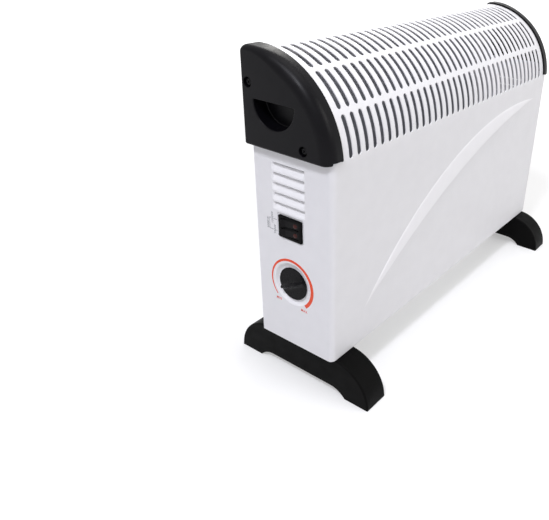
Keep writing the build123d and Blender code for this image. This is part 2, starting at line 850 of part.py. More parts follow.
def heating_element(z):
    """Four aluminium fins in an X round a sheathed rod."""
    body = small_bar((-element_end, element_y, z), (1, 0, 0), 2 * element_end, core_radius, core_sides)
    for angle in (45, 135):
        fin = Box(2 * element_end, 2 * fin_reach * sqrt(2), fin_thickness)
        body += Pos(0, element_y, z) * Rot(angle, 0, 0) * fin
    stick = bracket_x + ceramic_outside + rod_stickout
    return body + small_bar((-stick, element_y, z), (1, 0, 0), 2 * stick, rod_radius, rod_sides)


def ceramic_insulators():
    """Square ceramic bushes that hold the rods in the two walls."""
    bushes = []
    inner = partition_x + sheet
    length = 4 * ceramic_outside + sheet
    for z in (base + lower_element_height, base + upper_element_height):
        head = Pos(element_y, z) * Rectangle(ceramic_side, ceramic_side)
        neck = Pos(element_y, z) * Rectangle(ceramic_neck, ceramic_neck)
        bush = side_prism(head, inner, inner + ceramic_outside)
        bush += side_prism(neck, partition_x - ceramic_outside, inner)
        start = (partition_x - 2 * ceramic_outside, element_y, z)
        bush -= small_bar(start, (1, 0, 0), length, rod_radius + rod_fit, rod_sides)
        bushes += [bush, at_right(bush)]
    return bushes


def element_tabs():
    """Flat connection tabs on the rods' ends."""
    tabs = []
    start = -(bracket_x + ceramic_outside + rod_stickout)
    for z in (base + lower_element_height, base + upper_element_height):
        tab = side_prism(Pos(element_y, z) * Rectangle(tab_width, sheet), start - tab_length, start)
        tabs += [tab, at_right(tab)]
    return tabs


def heat_shield():
    """Dark sheet between the elements and the rear panel, folded back at both ends."""
    front = rear_inner - shield_gap - sheet
    left = partition_x + shield_end_gap
    right = -left
    low = base + shield_low
    high = base + shield_top
    shield = block(left, right, front, front + sheet, low, high)
    for x in (left, right):
        shield += block(x, x + (sheet if x < 0 else -sheet), front, rear_inner, low, high)
    return shield


def thermal_cutout():
    """Bimetal cut-out on a small plate high on the partition."""
    face = partition_x + sheet
    z = base + cutout_height
    plate = side_prism(Pos(element_y, z) * Rectangle(cutout_plate, 2 * cutout_radius), face, face + sheet)
    can = small_bar((face, element_y, z), (1, 0, 0), cutout_thickness, cutout_radius - over, core_sides)
    return plate + can


def square_y(side, y0, y1, x, z):
    """Square bar along Y."""
    return block(x - side / 2, x + side / 2, y0, y1, z - side / 2, z + side / 2)


def cord_gland():
    """Square snap-in bush with a round bore, through the rear panel."""
    outer = rear_face + gland_flange_thickness
    inner = rear_inner - gland_inside
    gland = square_y(gland_flange, rear_face, outer, gland_x, gland_z)
    gland = chamfer(gland.edges().filter_by(Axis.Y), gland_flange / 6)
    gland += square_y(gland_neck, inner, rear_face, gland_x, gland_z)
    barb = gland_neck + 2 * (gland_fit + gland_barb)
    gland += square_y(barb, inner + gland_inside / 2, rear_inner, gland_x, gland_z)
    return gland - rod_y(gland_bore, inner - over, outer + over, gland_x, gland_z)


def terminal_block():
    """Three-way terminal block on the bottom plate."""
    length, depth, height = terminal_block_size
    x0 = -half_length + terminal_block_x - length / 2
    y0 = terminal_block_y - depth / 2
    body = block(x0, x0 + length, y0, y0 + depth, floor_top, floor_top + height)
    for index in (1, 2):
        x = x0 + index * length / 3
        body -= block(x - terminal_slit / 2, x + terminal_slit / 2, y0 - over, y0 + depth + over,
                      floor_top + height / 2, floor_top + height + over)
    return body


def wire(points):
    """Insulated wire along straight runs, with each corner cut off in one short run."""
    corners = [Vector(point) for point in points]
    route = [corners[0]]
    for before, corner, after in zip(corners, corners[1:], corners[2:]):
        route.append(corner + (before - corner).normalized() * wire_bend)
        route.append(corner + (after - corner).normalized() * wire_bend)
    path = Polyline(*route, corners[-1])
    start = Plane(origin=path @ 0, z_dir=path % 0)
    return sweep(start * RegularPolygon(wire_radius, wire_sides), path=path, transition=Transition.RIGHT)


def control_wires():
    """Leads from the terminal block to the thermostat and on to the lower switch."""
    block_top = floor_top + terminal_block_size[2]
    block_x = -half_length + terminal_block_x + terminal_block_size[0] / 3
    blade_x = bezel_back + switch_body_depth + blade_length
    back_x = dish_floor + sheet + thermostat_depth
    near_y = switch_y - blade_spacing / 2
    far_y = switch_y + blade_spacing / 2
    low = knob_z - wire_loop
    high = knob_z + wire_loop
    return [
        wire([(block_x, near_y, block_top), (block_x, near_y, low), (back_x, near_y, low)]),
        wire([(back_x, far_y, high), (back_x + wire_loop, far_y, high),
              (blade_x + wire_loop, far_y, lower_rocker_z), (blade_x, far_y, lower_rocker_z)]),
    ]


def element_wires():
    """Lead from the upper switch to the upper element's left end."""
    blade_x = bezel_back + switch_body_depth + blade_length
    tab_x = -(bracket_x + ceramic_outside + rod_stickout + tab_length)
    y = (switch_y - blade_spacing / 2 + element_y) / 2
    upper = base + upper_element_height
    return [
        wire([(blade_x, y, upper_rocker_z), (blade_x + wire_loop, y, upper_rocker_z),
              (tab_x - wire_loop, y, upper), (tab_x, y, upper)]),
    ]


def save(name, piece):
    """Write one node, with its solids kept apart."""
    if isinstance(piece, list):
        piece = Part() + piece
    export_step(piece, f"parts/{name}.step")


def main():
    os.makedirs("parts", exist_ok=True)
    cap = left_end_cap()
    foot = left_foot()
    pieces = {
        "front_casing": front_casing(),
        "rear_panel": rear_panel(),
        "bottom_plate": bottom_plate(),
        "left_end_cap": cap,
        "right_end_cap": at_right(cap),
        "left_foot": foot,
        "right_foot": at_right(foot),
        "cap_screws": cap_screws(),
        "foot_screws": foot_screws(),
        "rear_screws": rear_screws(),
        "switch_housing": switch_housing(),
        "upper_rocker": rocker(upper_rocker_z),
        "lower_rocker": rocker(lower_rocker_z),
        "upper_lens": lens(upper_rocker_z),
        "lower_lens": lens(lower_rocker_z),
        "switch_blades": switch_blades(),
        "thermostat_knob": thermostat_knob(),
        "thermostat_shaft": thermostat_shaft(),
        "thermostat_body": thermostat_body(),
        "control_partition": control_partition(),
        "element_bracket": element_bracket(),
        "upper_element": heating_element(base + upper_element_height),
        "lower_element": heating_element(base + lower_element_height),
        "ceramic_insulators": ceramic_insulators(),
        "element_tabs": element_tabs(),
        "heat_shield": heat_shield(),
        "thermal_cutout": thermal_cutout(),
        "cord_gland": cord_gland(),
        "terminal_block": terminal_block(),
        "inner_wires": control_wires() + element_wires(),
    }
    for name, piece in pieces.items():
        save(name, piece)


main()
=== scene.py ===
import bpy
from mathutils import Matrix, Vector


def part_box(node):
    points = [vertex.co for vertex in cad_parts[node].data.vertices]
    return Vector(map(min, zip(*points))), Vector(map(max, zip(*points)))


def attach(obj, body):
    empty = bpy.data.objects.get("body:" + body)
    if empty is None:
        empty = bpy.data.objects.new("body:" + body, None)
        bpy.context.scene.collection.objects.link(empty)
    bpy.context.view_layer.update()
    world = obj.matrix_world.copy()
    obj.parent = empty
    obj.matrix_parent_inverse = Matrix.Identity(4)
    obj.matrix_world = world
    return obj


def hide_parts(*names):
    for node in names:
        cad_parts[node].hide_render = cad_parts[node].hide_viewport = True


bl_info = {
    "name": "Electric Convector Heater",
    "version": (1, 0, 0),
    "blender": (4, 5, 0),
    "location": "3D View > Sidebar > Heater",
    "description": "Builds the finished look of a slotted convector heater round its packed frame",
    "category": "Object",
}

from math import asin, cos, degrees, hypot, pi, radians, sin, sqrt
from types import SimpleNamespace

import bmesh
import bpy
from bpy.props import FloatProperty, FloatVectorProperty, IntProperty, PointerProperty
from bpy.types import Operator, Panel, PropertyGroup
from mathutils import Matrix, Vector
from mathutils.geometry import delaunay_2d_cdt

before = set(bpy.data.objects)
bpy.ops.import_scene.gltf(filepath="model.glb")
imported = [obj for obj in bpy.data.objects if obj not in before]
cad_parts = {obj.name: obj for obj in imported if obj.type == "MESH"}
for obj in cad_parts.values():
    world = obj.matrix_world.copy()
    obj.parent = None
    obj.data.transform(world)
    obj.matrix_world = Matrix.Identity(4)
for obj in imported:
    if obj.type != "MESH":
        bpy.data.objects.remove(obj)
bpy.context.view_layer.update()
MM = 0.001
WELD = 0.004 * MM


def node_box(node):
    """A CAD node's lowest and highest corners in millimetres."""
    low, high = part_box(node)
    return low / MM, high / MM


CASING_LOW, CASING_HIGH = node_box("front_casing")
CAP_LOW, CAP_HIGH = node_box("left_end_cap")
FOOT_LOW, FOOT_HIGH = node_box("left_foot")
SWITCH_LOW, SWITCH_HIGH = node_box("switch_housing")
KNOB_LOW, KNOB_HIGH = node_box("thermostat_knob")


def middle_of(low, high):
    """Middle of a box as it is seen from the end: y and z."""
    return (low.y + high.y) / 2, (low.z + high.z) / 2


KNOB_Y, KNOB_Z = middle_of(KNOB_LOW, KNOB_HIGH)
SWITCH_Y, SWITCH_Z = middle_of(SWITCH_LOW, SWITCH_HIGH)


def size(label, value, description):
    """A length in metres, given here in millimetres."""
    return FloatProperty(name=label, default=value * MM, unit="LENGTH", description=description)


def number(label, value, description):
    """A plain number, such as a share of a length or a lamp's power."""
    return FloatProperty(name=label, default=value, description=description)


def turn(label, value, description):
    """An angle, given here in degrees."""
    return FloatProperty(name=label, default=radians(value), unit="ROTATION", description=description)


def count(label, value, description):
    """A whole number of like things."""
    return IntProperty(name=label, default=value, min=1, description=description)


def linear(value):
    """Linear light for one 0 to 255 screen value."""
    value = value / 255
    return value / 12.92 if value <= 0.04045 else ((value + 0.055) / 1.055) ** 2.4


def colour(label, screen, description):
    """A colour, given here in 0 to 255 screen values."""
    return FloatVectorProperty(name=label, default=[linear(v) for v in screen], size=3, min=0, max=1,
                               subtype="COLOR", description=description)


class HeaterCasing(PropertyGroup):
    """Sizes of the painted sheet casing."""
    sheet: size("Sheet", 0.8, "Thickness of the casing's sheet")
    front_corner: size("Front corner", 6.5, "Radius of the upright front corners")
    bottom_bend: size("Bottom bend", 1.5, "Radius of the fold along the bottom")
    flange: size("Flange", 13.0, "Width of the bottom flange")
    rear_bend: size("Rear bend", 2.5, "Radius of the fold at the top of the back")
    skirt: size("Skirt", 12.0, "Height of the short rear skirt")
    roll_start: size("Roll start", 278.5, "Height where the front starts to roll back")
    roll_radius: size("Roll radius", 103.8, "Radius of the rolled top")
    slot_count: count("Slots", 36, "Slots in each row")
    slot_rows: count("Slot rows", 3, "Rows of slots up the roll")
    slot_pitch: size("Slot pitch", 13.5, "Distance from slot to slot")
    slot_width: size("Slot width", 6.2, "Open width of a slot")
    slot_angle: turn("Slot angle", 24.0, "How far a slot reaches round the roll")
    bridge_angle: turn("Bridge angle", 3.0, "Gap between two rows round the roll")
    first_angle: turn("First angle", 4.3, "How far round the roll the first row starts")
    lip_radius: size("Lip radius", 0.45, "Radius of a slot's rounded edge")
    lip_depth: size("Lip depth", 1.1, "Depth of a slot's rounded edge")
    crescent_x: size("Crescent centre X", 221.0, "Centre of the raised crescent, along the casing")
    crescent_z: size("Crescent centre Z", -390.5, "Centre of the raised crescent, above the floor")
    crescent_radius: size("Crescent radius", 646.6, "Radius of the raised crescent's middle line")
    crescent_low: turn("Crescent low end", 131.4, "Where the crescent starts")
    crescent_high: turn("Crescent high end", 89.65, "Where the crescent ends")
    crescent_width: size("Crescent width", 27.7, "Widest part of the crescent")
    crescent_rise: size("Crescent rise", 1.2, "Height of the crescent over the front")
    louvre_count: count("Louvres", 5, "Louvres in each end")
    louvre_pitch: size("Louvre pitch", 11.0, "Distance from louvre to louvre")
    louvre_length: size("Louvre length", 45.4, "Length of a louvre's slit")
    louvre_height: size("Louvre height", 9.4, "Height of a louvre's ramp")
    louvre_depth: size("Louvre depth", 3.0, "How far a louvre is pressed in under its slit")
    louvre_gap: size("Louvre gap", 2.3, "Height of the open slit under a louvre's edge")
    right_louvre_gap: size("Right louvre gap", 0.5, "Height of the nearly shut slits in the right end")
    right_louvre_depth: size("Right louvre depth", 1.5, "How far the right end's louvres are pressed in")
    louvre_y: size("Louvre Y", 5.4, "Middle of the louvres")
    louvre_top: size("Louvre top", 271.3, "Height of the upper slit")
    dish_radius: size("Dish radius", 26.8, "Mouth of the dish round the knob")
    dish_depth: size("Dish depth", 3.4, "Depth of the dish round the knob")
    press_depth: size("Press depth", 1.2, "Depth of the pressed recess round the switch")
    press_margin: size("Press margin", 2.6, "Pressed recess beyond the bezel")


class HeaterMouldings(PropertyGroup):
    """Sizes of the moulded caps and feet."""
    cap_edge: size("Cap edge", 13.0, "Fillet along the cap's outer edge")
    cap_crown_edge: size("Cap crown edge", 5.4, "Fillet where the cap's arc meets its top rear corner")
    cap_small_edge: size("Cap small edge", 2.6, "Fillet along the cap's back and bottom")
    cap_front_corner: size("Cap front corner", 3.6, "Radius of the cap's bottom front corner")
    cap_rear_corner: size("Cap rear corner", 7.4, "Radius of the cap's top rear corner")
    cap_wall: size("Cap wall", 2.4, "Thickness of the cap's band")
    recess_radius: size("Recess radius", 27.0, "Radius of the finger recess")
    recess_y: size("Recess Y", 15.0, "Middle of the finger recess")
    recess_z: size("Recess Z", 334.5, "Straight upper edge of the finger recess")
    recess_depth: size("Recess depth", 17.0, "Depth of the finger recess")
    recess_mouth: size("Recess mouth", 1.3, "Fillet round the recess's mouth")
    recess_fillet: size("Recess fillet", 1.2, "Fillet at the bottom of the recess")
    foot_edge: size("Foot edge", 2.2, "Fillet along the foot's upper edges")
    foot_wall: size("Foot wall", 2.6, "Wall of the hollow foot")
    arch_height: size("Arch height", 10.0, "Height of the foot's arch")
    arch_half: size("Arch half", 45.4, "Half length of the arch's flat part")
    arch_radius: size("Arch radius", 27.0, "Radius at the arch's ends")


class HeaterControls(PropertyGroup):
    """Sizes of the switch, the knob and the printing."""
    knob_radius: size("Knob radius", 19.7, "Radius of the thermostat knob")
    knob_turn: turn("Knob turn", 61.0, "Where the knob points at rest, clockwise from upright")
    knob_drop: size("Knob drop", 8.3, "How far the knob's rim lies behind the frame's own front")
    grip_height: size("Grip height", 4.8, "Height of the knob's grip")
    grip_width: size("Grip width", 2.6, "Width of the grip's top")
    nub_radius: size("Nub radius", 2.15, "Radius of the round nub at the grip's tail")
    nub_height: size("Nub height", 4.3, "Height of the round nub at the grip's tail")
    stem_radius: size("Stem radius", 3.0, "Radius of the thermostat's shaft")
    stem_flat: number("Stem flat", 0.5, "Where the shaft's flat lies, as a share of its radius")
    dot_place: size("Dot place", 11.2, "Distance of the pointer dot from the knob's centre")
    dot_height: number("Dot height", 0.77, "Height of the dot, as a share of the grip's")
    opening_length: size("Opening length", 24.6, "Length of a rocker's opening")
    opening_height: size("Opening height", 8.5, "Height of a rocker's opening")
    rocker_spacing: size("Rocker spacing", 10.9, "Distance between the two rockers")
    rocker_tilt: turn("Rocker tilt", 10.0, "Tilt of both rockers at rest")
    lens_radius: size("Lens radius", 2.65, "Radius of a pilot lens")
    lens_offset: size("Lens offset", 6.6, "Distance of a lens from its rocker's pivot")
    scale_radius: size("Scale radius", 31.0, "Outer radius of the printed arc")
    legend_shift: size("Legend shift", 25.0, "Distance of the switch legend from the switch's middle")
    print_rise: size("Print rise", 0.06, "Thickness of the printing over the paint")


class HeaterColours(PropertyGroup):
    """Colours of the heater's finishes."""
    casing: colour("Casing", (240, 239, 241), "White powder coat")
    # The crescent colour is a whiter copy of the casing white: a painted highlight for the crescent, the
    # louvre ramps and the dish round the knob
    crescent: colour("Crescent", (252, 251, 253), "Crescent on the front")
    plastic: colour("Plastic", (10, 9, 13), "End caps")
    foot: colour("Foot", (5, 5, 5), "Feet")
    knob: colour("Knob", (9, 9, 12), "Thermostat knob")
    bezel: colour("Bezel", (4, 4, 5), "Switch bezel")
    rocker: colour("Rocker", (22, 21, 22), "Rockers")
    lens: colour("Lens", (62, 14, 9), "Pilot lenses")
    scale: colour("Scale", (236, 70, 16), "Printed arc and letters")
    legend: colour("Legend", (104, 104, 110), "Printed legend")
    zinc: colour("Zinc", (176, 178, 180), "Galvanised and plated steel")
    dark_screw: colour("Dark screw", (16, 16, 18), "Blackened screws")
    aluminium: colour("Aluminium", (196, 197, 199), "Element fins")
    ceramic: colour("Ceramic", (226, 222, 210), "Ceramic bushes")
    brass: colour("Brass", (190, 160, 98), "Switch blades")
    shield: colour("Shield", (150, 152, 160), "Heat shield")
    thermostat: colour("Thermostat", (58, 56, 54), "Thermostat case")
    wire: colour("Wire", (70, 84, 140), "Wire sleeves")


class HeaterStudio(PropertyGroup):
    """Lights of the plain studio."""
    sky: number("Sky", 0.56, "Strength of the light from all round")
    overhead: number("Overhead", 8.0, "Power of the lamp overhead")
    key: number("Key", 32.0, "Power of the lamp on the left")
    fill: number("Fill", 15.0, "Power of the soft lamp in front")
    rim: number("Rim", 8.0, "Power of the lamp behind the right end")


def millimetres(group):
    """A group's sizes in millimetres and its angles in degrees."""
    values = {}
    for name, made in type(group).__annotations__.items():
        value = getattr(group, name)
        unit = made.keywords.get("unit")
        if unit == "LENGTH":
            value = value / MM
        elif unit == "ROTATION":
            value = degrees(value)
        values[name] = value
    return SimpleNamespace(**values)


def blend_step(t):
    """Smooth step from 0 to 1."""
    t = min(max(t, 0.0), 1.0)
    return t * t * (3 - 2 * t)


def between(a, b, steps):
    """Even steps from a to b, both ends included."""
    return [a + (b - a) * i / steps for i in range(steps + 1)]


class Shape:
    """Points in millimetres and the faces between them."""

    def __init__(self):
        self.points = []
        self.faces = []
        self.marks = []

    def row(self, points):
        """Add a row of points and return their numbers."""
        start = len(self.points)
        self.points.extend(points)
        return list(range(start, len(self.points)))

    def face(self, corners, mark=0):
        """Add one face."""
        self.faces.append(tuple(corners))
        self.marks.append(mark)

    def loft(self, rows, closed=False, mark=0):
        """Quads from each row of points to the next; returns the rows' numbers."""
        made = [self.row(points) for points in rows]
        for low, high in zip(made, made[1:]):
            reach = len(low) if closed else len(low) - 1
            for i in range(reach):
                j = (i + 1) % len(low)
                self.face((low[i], low[j], high[j], high[i]), mark)
        return made

    def solid(self, rows, ends=(0, -1)):
        """Quads between closed rows, with the rows at the ends filled."""
        made = self.loft(rows, closed=True)
        for end in ends:
            self.face(made[end])

    def flat(self, outline, holes, place):
        """Fill a flat outline round its holes; place puts each pair of numbers in space."""
        points, edges = [], []
        for loop in (outline, *holes):
            start = len(points)
            points += [Vector(p) for p in loop]
            edges += [(start + i, start + (i + 1) % len(loop)) for i in range(len(loop))]
        spots, _, faces = delaunay_2d_cdt(points, edges, [], 0, 1e-5)[:3]
        numbers = self.row([place(p.x, p.y) for p in spots])
        for face in faces:
            middle = sum((spots[i] for i in face), Vector((0, 0))) / len(face)
            if within(middle, outline) and not any(within(middle, hole) for hole in holes):
                self.face([numbers[i] for i in face])


def within(point, loop):
    """Whether a point lies inside a closed loop."""
    inside = False
    for (ax, ay), (bx, by) in zip(loop, loop[1:] + loop[:1]):
        if (ay > point[1]) != (by > point[1]) and point[0] < (bx - ax) * (point[1] - ay) / (by - ay) + ax:
            inside = not inside
    return inside


def inward(loop, distances):
    """A closed loop moved inwards, each point by its own distance."""
    area = sum(a[0] * b[1] - b[0] * a[1] for a, b in zip(loop, loop[1:] + loop[:1]))
    side = 1 if area > 0 else -1
    moved = []
    for i, (x, y) in enumerate(loop):
        before, after = loop[i - 1], loop[(i + 1) % len(loop)]
        first = Vector((x - before[0], y - before[1])).normalized()
        second = Vector((after[0] - x, after[1] - y)).normalized()
        along = (first + second).normalized()
        widen = max(along.dot(first), 0.3)
        moved.append((x - side * along.y * distances[i] / widen, y + side * along.x * distances[i] / widen))
    return moved


def rounded_box(x0, x1, y0, y1, radius, steps=6):
    """Rectangle with round corners, anticlockwise."""
    loop = []
    for cx, cy, start in ((x1 - radius, y0 + radius, -90), (x1 - radius, y1 - radius, 0),
                          (x0 + radius, y1 - radius, 90), (x0 + radius, y0 + radius, 180)):
        for i in range(steps + 1):
            angle = radians(start + 90 * i / steps)
            loop.append((cx + radius * cos(angle), cy + radius * sin(angle)))
    return loop


def circle(radius, steps, x=0.0, y=0.0):
    """Points round a circle, anticlockwise."""
    turns = [2 * pi * i / steps for i in range(steps)]
    return [(x + radius * cos(t), y + radius * sin(t)) for t in turns]


def quarter_round(radius, angles):
    """How far a round edge stands back and how deep it lies, at each angle in degrees."""
    return [(radius * (1 - sin(radians(a))), radius * (1 - cos(radians(a)))) for a in angles]


def at_x(x, loop):
    """A loop of y and z set at one x."""
    return [(x, *p) for p in loop]


def add_object(name, data):
    """A new object in the scene."""
    made = bpy.data.objects.new(name, data)
    bpy.context.scene.collection.objects.link(made)
    return made


def finished_mesh(piece):
    """An object's mesh with its modifiers applied."""
    graph = bpy.context.evaluated_depsgraph_get()
    return bpy.data.meshes.new_from_object(piece.evaluated_get(graph), depsgraph=graph)


def welded_mesh(name, shape):
    """A shape's mesh, with doubled points joined and every face turned outwards."""
    mesh = bpy.data.meshes.new(name)
    mesh.from_pydata([Vector(p) * MM for p in shape.points], [], shape.faces)
    mesh.polygons.foreach_set("material_index", shape.marks)
    soup = bmesh.new()
    soup.from_mesh(mesh)
    bmesh.ops.remove_doubles(soup, verts=soup.verts, dist=WELD)
    bmesh.ops.dissolve_degenerate(soup, edges=soup.edges, dist=WELD / 2)
    bmesh.ops.recalc_face_normals(soup, faces=soup.faces)
    soup.to_mesh(mesh)
    soup.free()
    return mesh


def make_piece(name, shape, body, finishes, replaces=(), sheet=0.0, sharp=38.0, cut=None):
    """Turn a shape into a piece that rides on a body, with clean normals."""
    piece = add_object(name, welded_mesh(name, shape))
    for key in finishes:
        piece.data.materials.append(FINISHES[key])
    if sheet:
        solid = piece.modifiers.new("Sheet", "SOLIDIFY")
        solid.thickness = sheet * MM
        solid.offset = -1
        solid.use_even_offset = True
        solid.use_quality_normals = True
    if cut is not None:
        hollow = piece.modifiers.new("Hollow", "BOOLEAN")
        hollow.operation = "DIFFERENCE"
        hollow.solver = "EXACT"
        hollow.object = cut
    if piece.modifiers:
        made = finished_mesh(piece)
        piece.modifiers.clear()
        piece.data = made
    if cut is not None:
        bpy.data.objects.remove(cut)
    piece.data.shade_smooth()
    piece.data.set_sharp_from_angle(angle=radians(sharp))
    weigh = piece.modifiers.new("Clean normals", "WEIGHTED_NORMAL")
    weigh.keep_sharp = True
    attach(piece, body)
    if replaces:
        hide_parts(*replaces)


def require_frame():
    """Stop if the frame isn't the heater this add-on dresses."""
    needed = {"front_casing", "left_end_cap", "right_end_cap", "left_foot", "right_foot", "thermostat_knob"}
    if not needed <= set(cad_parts):
        raise RuntimeError("the frame has none of the heater's nodes")


# Finishes

def new_material(name):
    """A node material, its node tree and its main shader."""
    material = bpy.data.materials.new(name)
    material.use_nodes = True
    return material, material.node_tree, material.node_tree.nodes["Principled BSDF"]


def feed(tree, node, inputs):
    """Give each input a value, or link it to another node's output."""
    for name, source in inputs.items():
        if isinstance(source, bpy.types.NodeSocket):
            tree.links.new(source, node.inputs[name])
        else:
            node.inputs[name].default_value = source


def add_node(tree, kind, inputs, output, **settings):
    """Add a shader node and return one of its outputs."""
    node = tree.nodes.new("ShaderNode" + kind)
    for name, value in settings.items():
        setattr(node, name, value)
    feed(tree, node, inputs)
    return node.outputs[output]


def noise(tree, scale, detail=3.0, stretch=(1, 1, 1), seed=0.0):
    """Noise in the frame's own coordinates; scale is in lumps per metre."""
    place = add_node(tree, "TexCoord", {}, "Object")
    shift = (seed, seed * 0.7, -seed)
    place = add_node(tree, "Mapping", {"Vector": place, "Scale": stretch, "Location": shift}, "Vector")
    return add_node(tree, "TexNoise", {"Vector": place, "Scale": scale, "Detail": detail}, "Fac")


def spread(tree, source, low, high, from_low=0.3, from_high=0.7):
    """Map a value onto a range."""
    ends = {"From Min": from_low, "From Max": from_high, "To Min": low, "To Max": high}
    return add_node(tree, "MapRange", {"Value": source, **ends}, "Result")


def mix_colour(tree, factor, first, second):
    """Mix two colours, each a value or another node's output."""
    return add_node(tree, "Mix", {0: factor, 6: first, 7: second}, 2, data_type="RGBA")


def bump(tree, height, strength, depth, under=None):
    """Relief of a depth in millimetres, on top of another relief."""
    inputs = {"Height": height, "Strength": strength, "Distance": depth * MM}
    if under:
        inputs["Normal"] = under
    return add_node(tree, "Bump", inputs, "Normal")


def scaled(base, factor):
    """A colour made lighter or darker."""
    return (*(min(v * factor, 1.0) for v in base), 1.0)


GRAIN_STRENGTH = 0.35
PATCH_SHARE = 0.35


def finish(name, base, roughness, vary=0.06, rough_vary=0.06, lump=300.0, grain=1800.0, grain_depth=0.02,
           wave_depth=0.0, wave=9.0, metallic=0.0, specular=0.5, stretch=(1, 1, 1)):
    """A finish with colour drift, uneven roughness, fine grain and a slow waviness."""
    material, tree, shader = new_material(name)
    drift = spread(tree, noise(tree, lump, seed=1.3, stretch=stretch), 0.0, 1.0)
    patch = noise(tree, lump * PATCH_SHARE, seed=4.1, stretch=stretch)
    fine = noise(tree, grain, detail=2.0, seed=2.2, stretch=stretch)
    slow = None
    if wave_depth:
        slow = bump(tree, noise(tree, wave, detail=1.0, seed=7.7), 1.0, wave_depth)
    feed(tree, shader, {
        "Base Color": mix_colour(tree, drift, scaled(base, 1 - vary), scaled(base, 1 + vary)),
        "Roughness": spread(tree, patch, roughness - rough_vary, roughness + rough_vary),
        "Normal": bump(tree, fine, GRAIN_STRENGTH, grain_depth, slow),
        "Metallic": metallic,
        "Specular IOR Level": specular,
    })
    return material


def brushed(name, base, roughness):
    """Rolled or drawn metal with long faint streaks along X."""
    return finish(name, base, roughness, vary=0.12, rough_vary=0.1, lump=160.0, grain=900.0,
                  grain_depth=0.03, metallic=1.0, stretch=(0.04, 1.0, 1.0))


def spangled(name, base):
    """Galvanised steel with its crystal pattern."""
    material, tree, shader = new_material(name)
    place = add_node(tree, "TexCoord", {}, "Object")
    cells = add_node(tree, "TexVoronoi", {"Vector": place, "Scale": 140.0}, "Color")
    flake = {"Color": cells}
    red, green = (add_node(tree, "SeparateColor", flake, channel) for channel in ("Red", "Green"))
    feed(tree, shader, {
        "Base Color": mix_colour(tree, red, scaled(base, 0.8), scaled(base, 1.12)),
        "Roughness": spread(tree, green, 0.32, 0.5, 0.0, 1.0),
        "Normal": bump(tree, noise(tree, 700.0), 0.3, 0.02),
        "Metallic": 0.9,
    })
    return material


def lens_glass(name, base):
    """Clear red plastic over a dark core."""
    material, tree, shader = new_material(name)
    drift = noise(tree, 900.0, seed=3.0)
    clouds = spread(tree, drift, 0.0, 1.0)
    feed(tree, shader, {
        "Base Color": mix_colour(tree, clouds, scaled(base, 0.75), scaled(base, 1.25)),
        "Roughness": spread(tree, drift, 0.08, 0.16),
        "Specular IOR Level": 0.22,
    })
    return material


FINISHES = {}


def make_finishes(c):
    """Every finish of the heater, by name, in the colours given."""
    paint = dict(vary=0.012, rough_vary=0.05, lump=60.0, grain=1500.0, grain_depth=0.012, wave_depth=0.25,
                 specular=0.3)
    moulded = dict(vary=0.1, rough_vary=0.07, lump=220.0, grain=2600.0)
    FINISHES.update({
        "casing": finish("casing paint", c.casing, 0.42, **paint),
        # crescent paint is the casing paint made whiter, a painted highlight on the crescent, the louvre
        # ramps and the dish
        "crescent": finish("crescent paint", c.crescent, 0.36, **paint),
        "plastic": finish("cap plastic", c.plastic, 0.36, specular=0.12, **moulded),
        "foot": finish("foot plastic", c.foot, 0.5, specular=0.06, **moulded),
        "knob": finish("knob plastic", c.knob, 0.28, vary=0.1, rough_vary=0.05, lump=400.0, grain=3000.0,
                       grain_depth=0.008, specular=0.09),
        "bezel": finish("bezel plastic", c.bezel, 0.40, vary=0.1, lump=500.0, grain=4000.0, grain_depth=0.01,
                        specular=0.06),
        "rocker": finish("rocker plastic", c.rocker, 0.42, vary=0.14, lump=1600.0, grain=6000.0,
                         grain_depth=0.03, specular=0.09),
        "lens": lens_glass("pilot lens", c.lens),
        "scale": finish("scale print", c.scale, 0.45, vary=0.04, lump=500.0, grain=4000.0,
                        grain_depth=0.006),
        "legend": finish("legend print", c.legend, 0.5, lump=900.0, grain=4000.0, grain_depth=0.006),
        "zinc": brushed("zinc screw", c.zinc, 0.34),
        "dark_screw": finish("blackened screw", c.dark_screw, 0.38, specular=0.12),
        "galvanised": spangled("galvanised steel", c.zinc),
        "aluminium": brushed("element aluminium", c.aluminium, 0.4),
        "steel": brushed("shaft steel", c.zinc, 0.28),
        "ceramic": finish("ceramic", c.ceramic, 0.6, vary=0.05, lump=700.0, grain=2500.0, grain_depth=0.05),
        "brass": brushed("brass blade", c.brass, 0.32),
        "shield": finish("heat shield paint", c.shield, 0.6, vary=0.12, lump=90.0, grain=1500.0),
        "thermostat": finish("thermostat case", c.thermostat, 0.5, vary=0.1, lump=400.0, grain=2500.0),
        "wire": finish("wire sleeve", c.wire, 0.45, vary=0.08, lump=900.0, grain=3000.0),
    })


NODE_FINISHES = {
    "rear_panel": "casing", "bottom_plate": "galvanised", "foot_screws": "zinc", "switch_blades": "brass",
    "thermostat_shaft": "steel", "thermostat_body": "thermostat", "control_partition": "galvanised",
    "element_bracket": "galvanised", "upper_element": "aluminium", "lower_element": "aluminium",
    "ceramic_insulators": "ceramic", "element_tabs": "zinc", "heat_shield": "shield",
    "thermal_cutout": "zinc", "cord_gland": "plastic", "terminal_block": "ceramic", "inner_wires": "wire",
    "rear_screws": "zinc",
}


# Casing

CROWN_LAND = 3.8
ROLL_Y = CASING_HIGH.y - CROWN_LAND
SEAM_GAP = 0.5
BEND_ANGLES = (0, 22, 45, 67, 90)
# Points along a slot's straight side and round one of its ends
SIDE_STEPS = 10
END_STEPS = 8


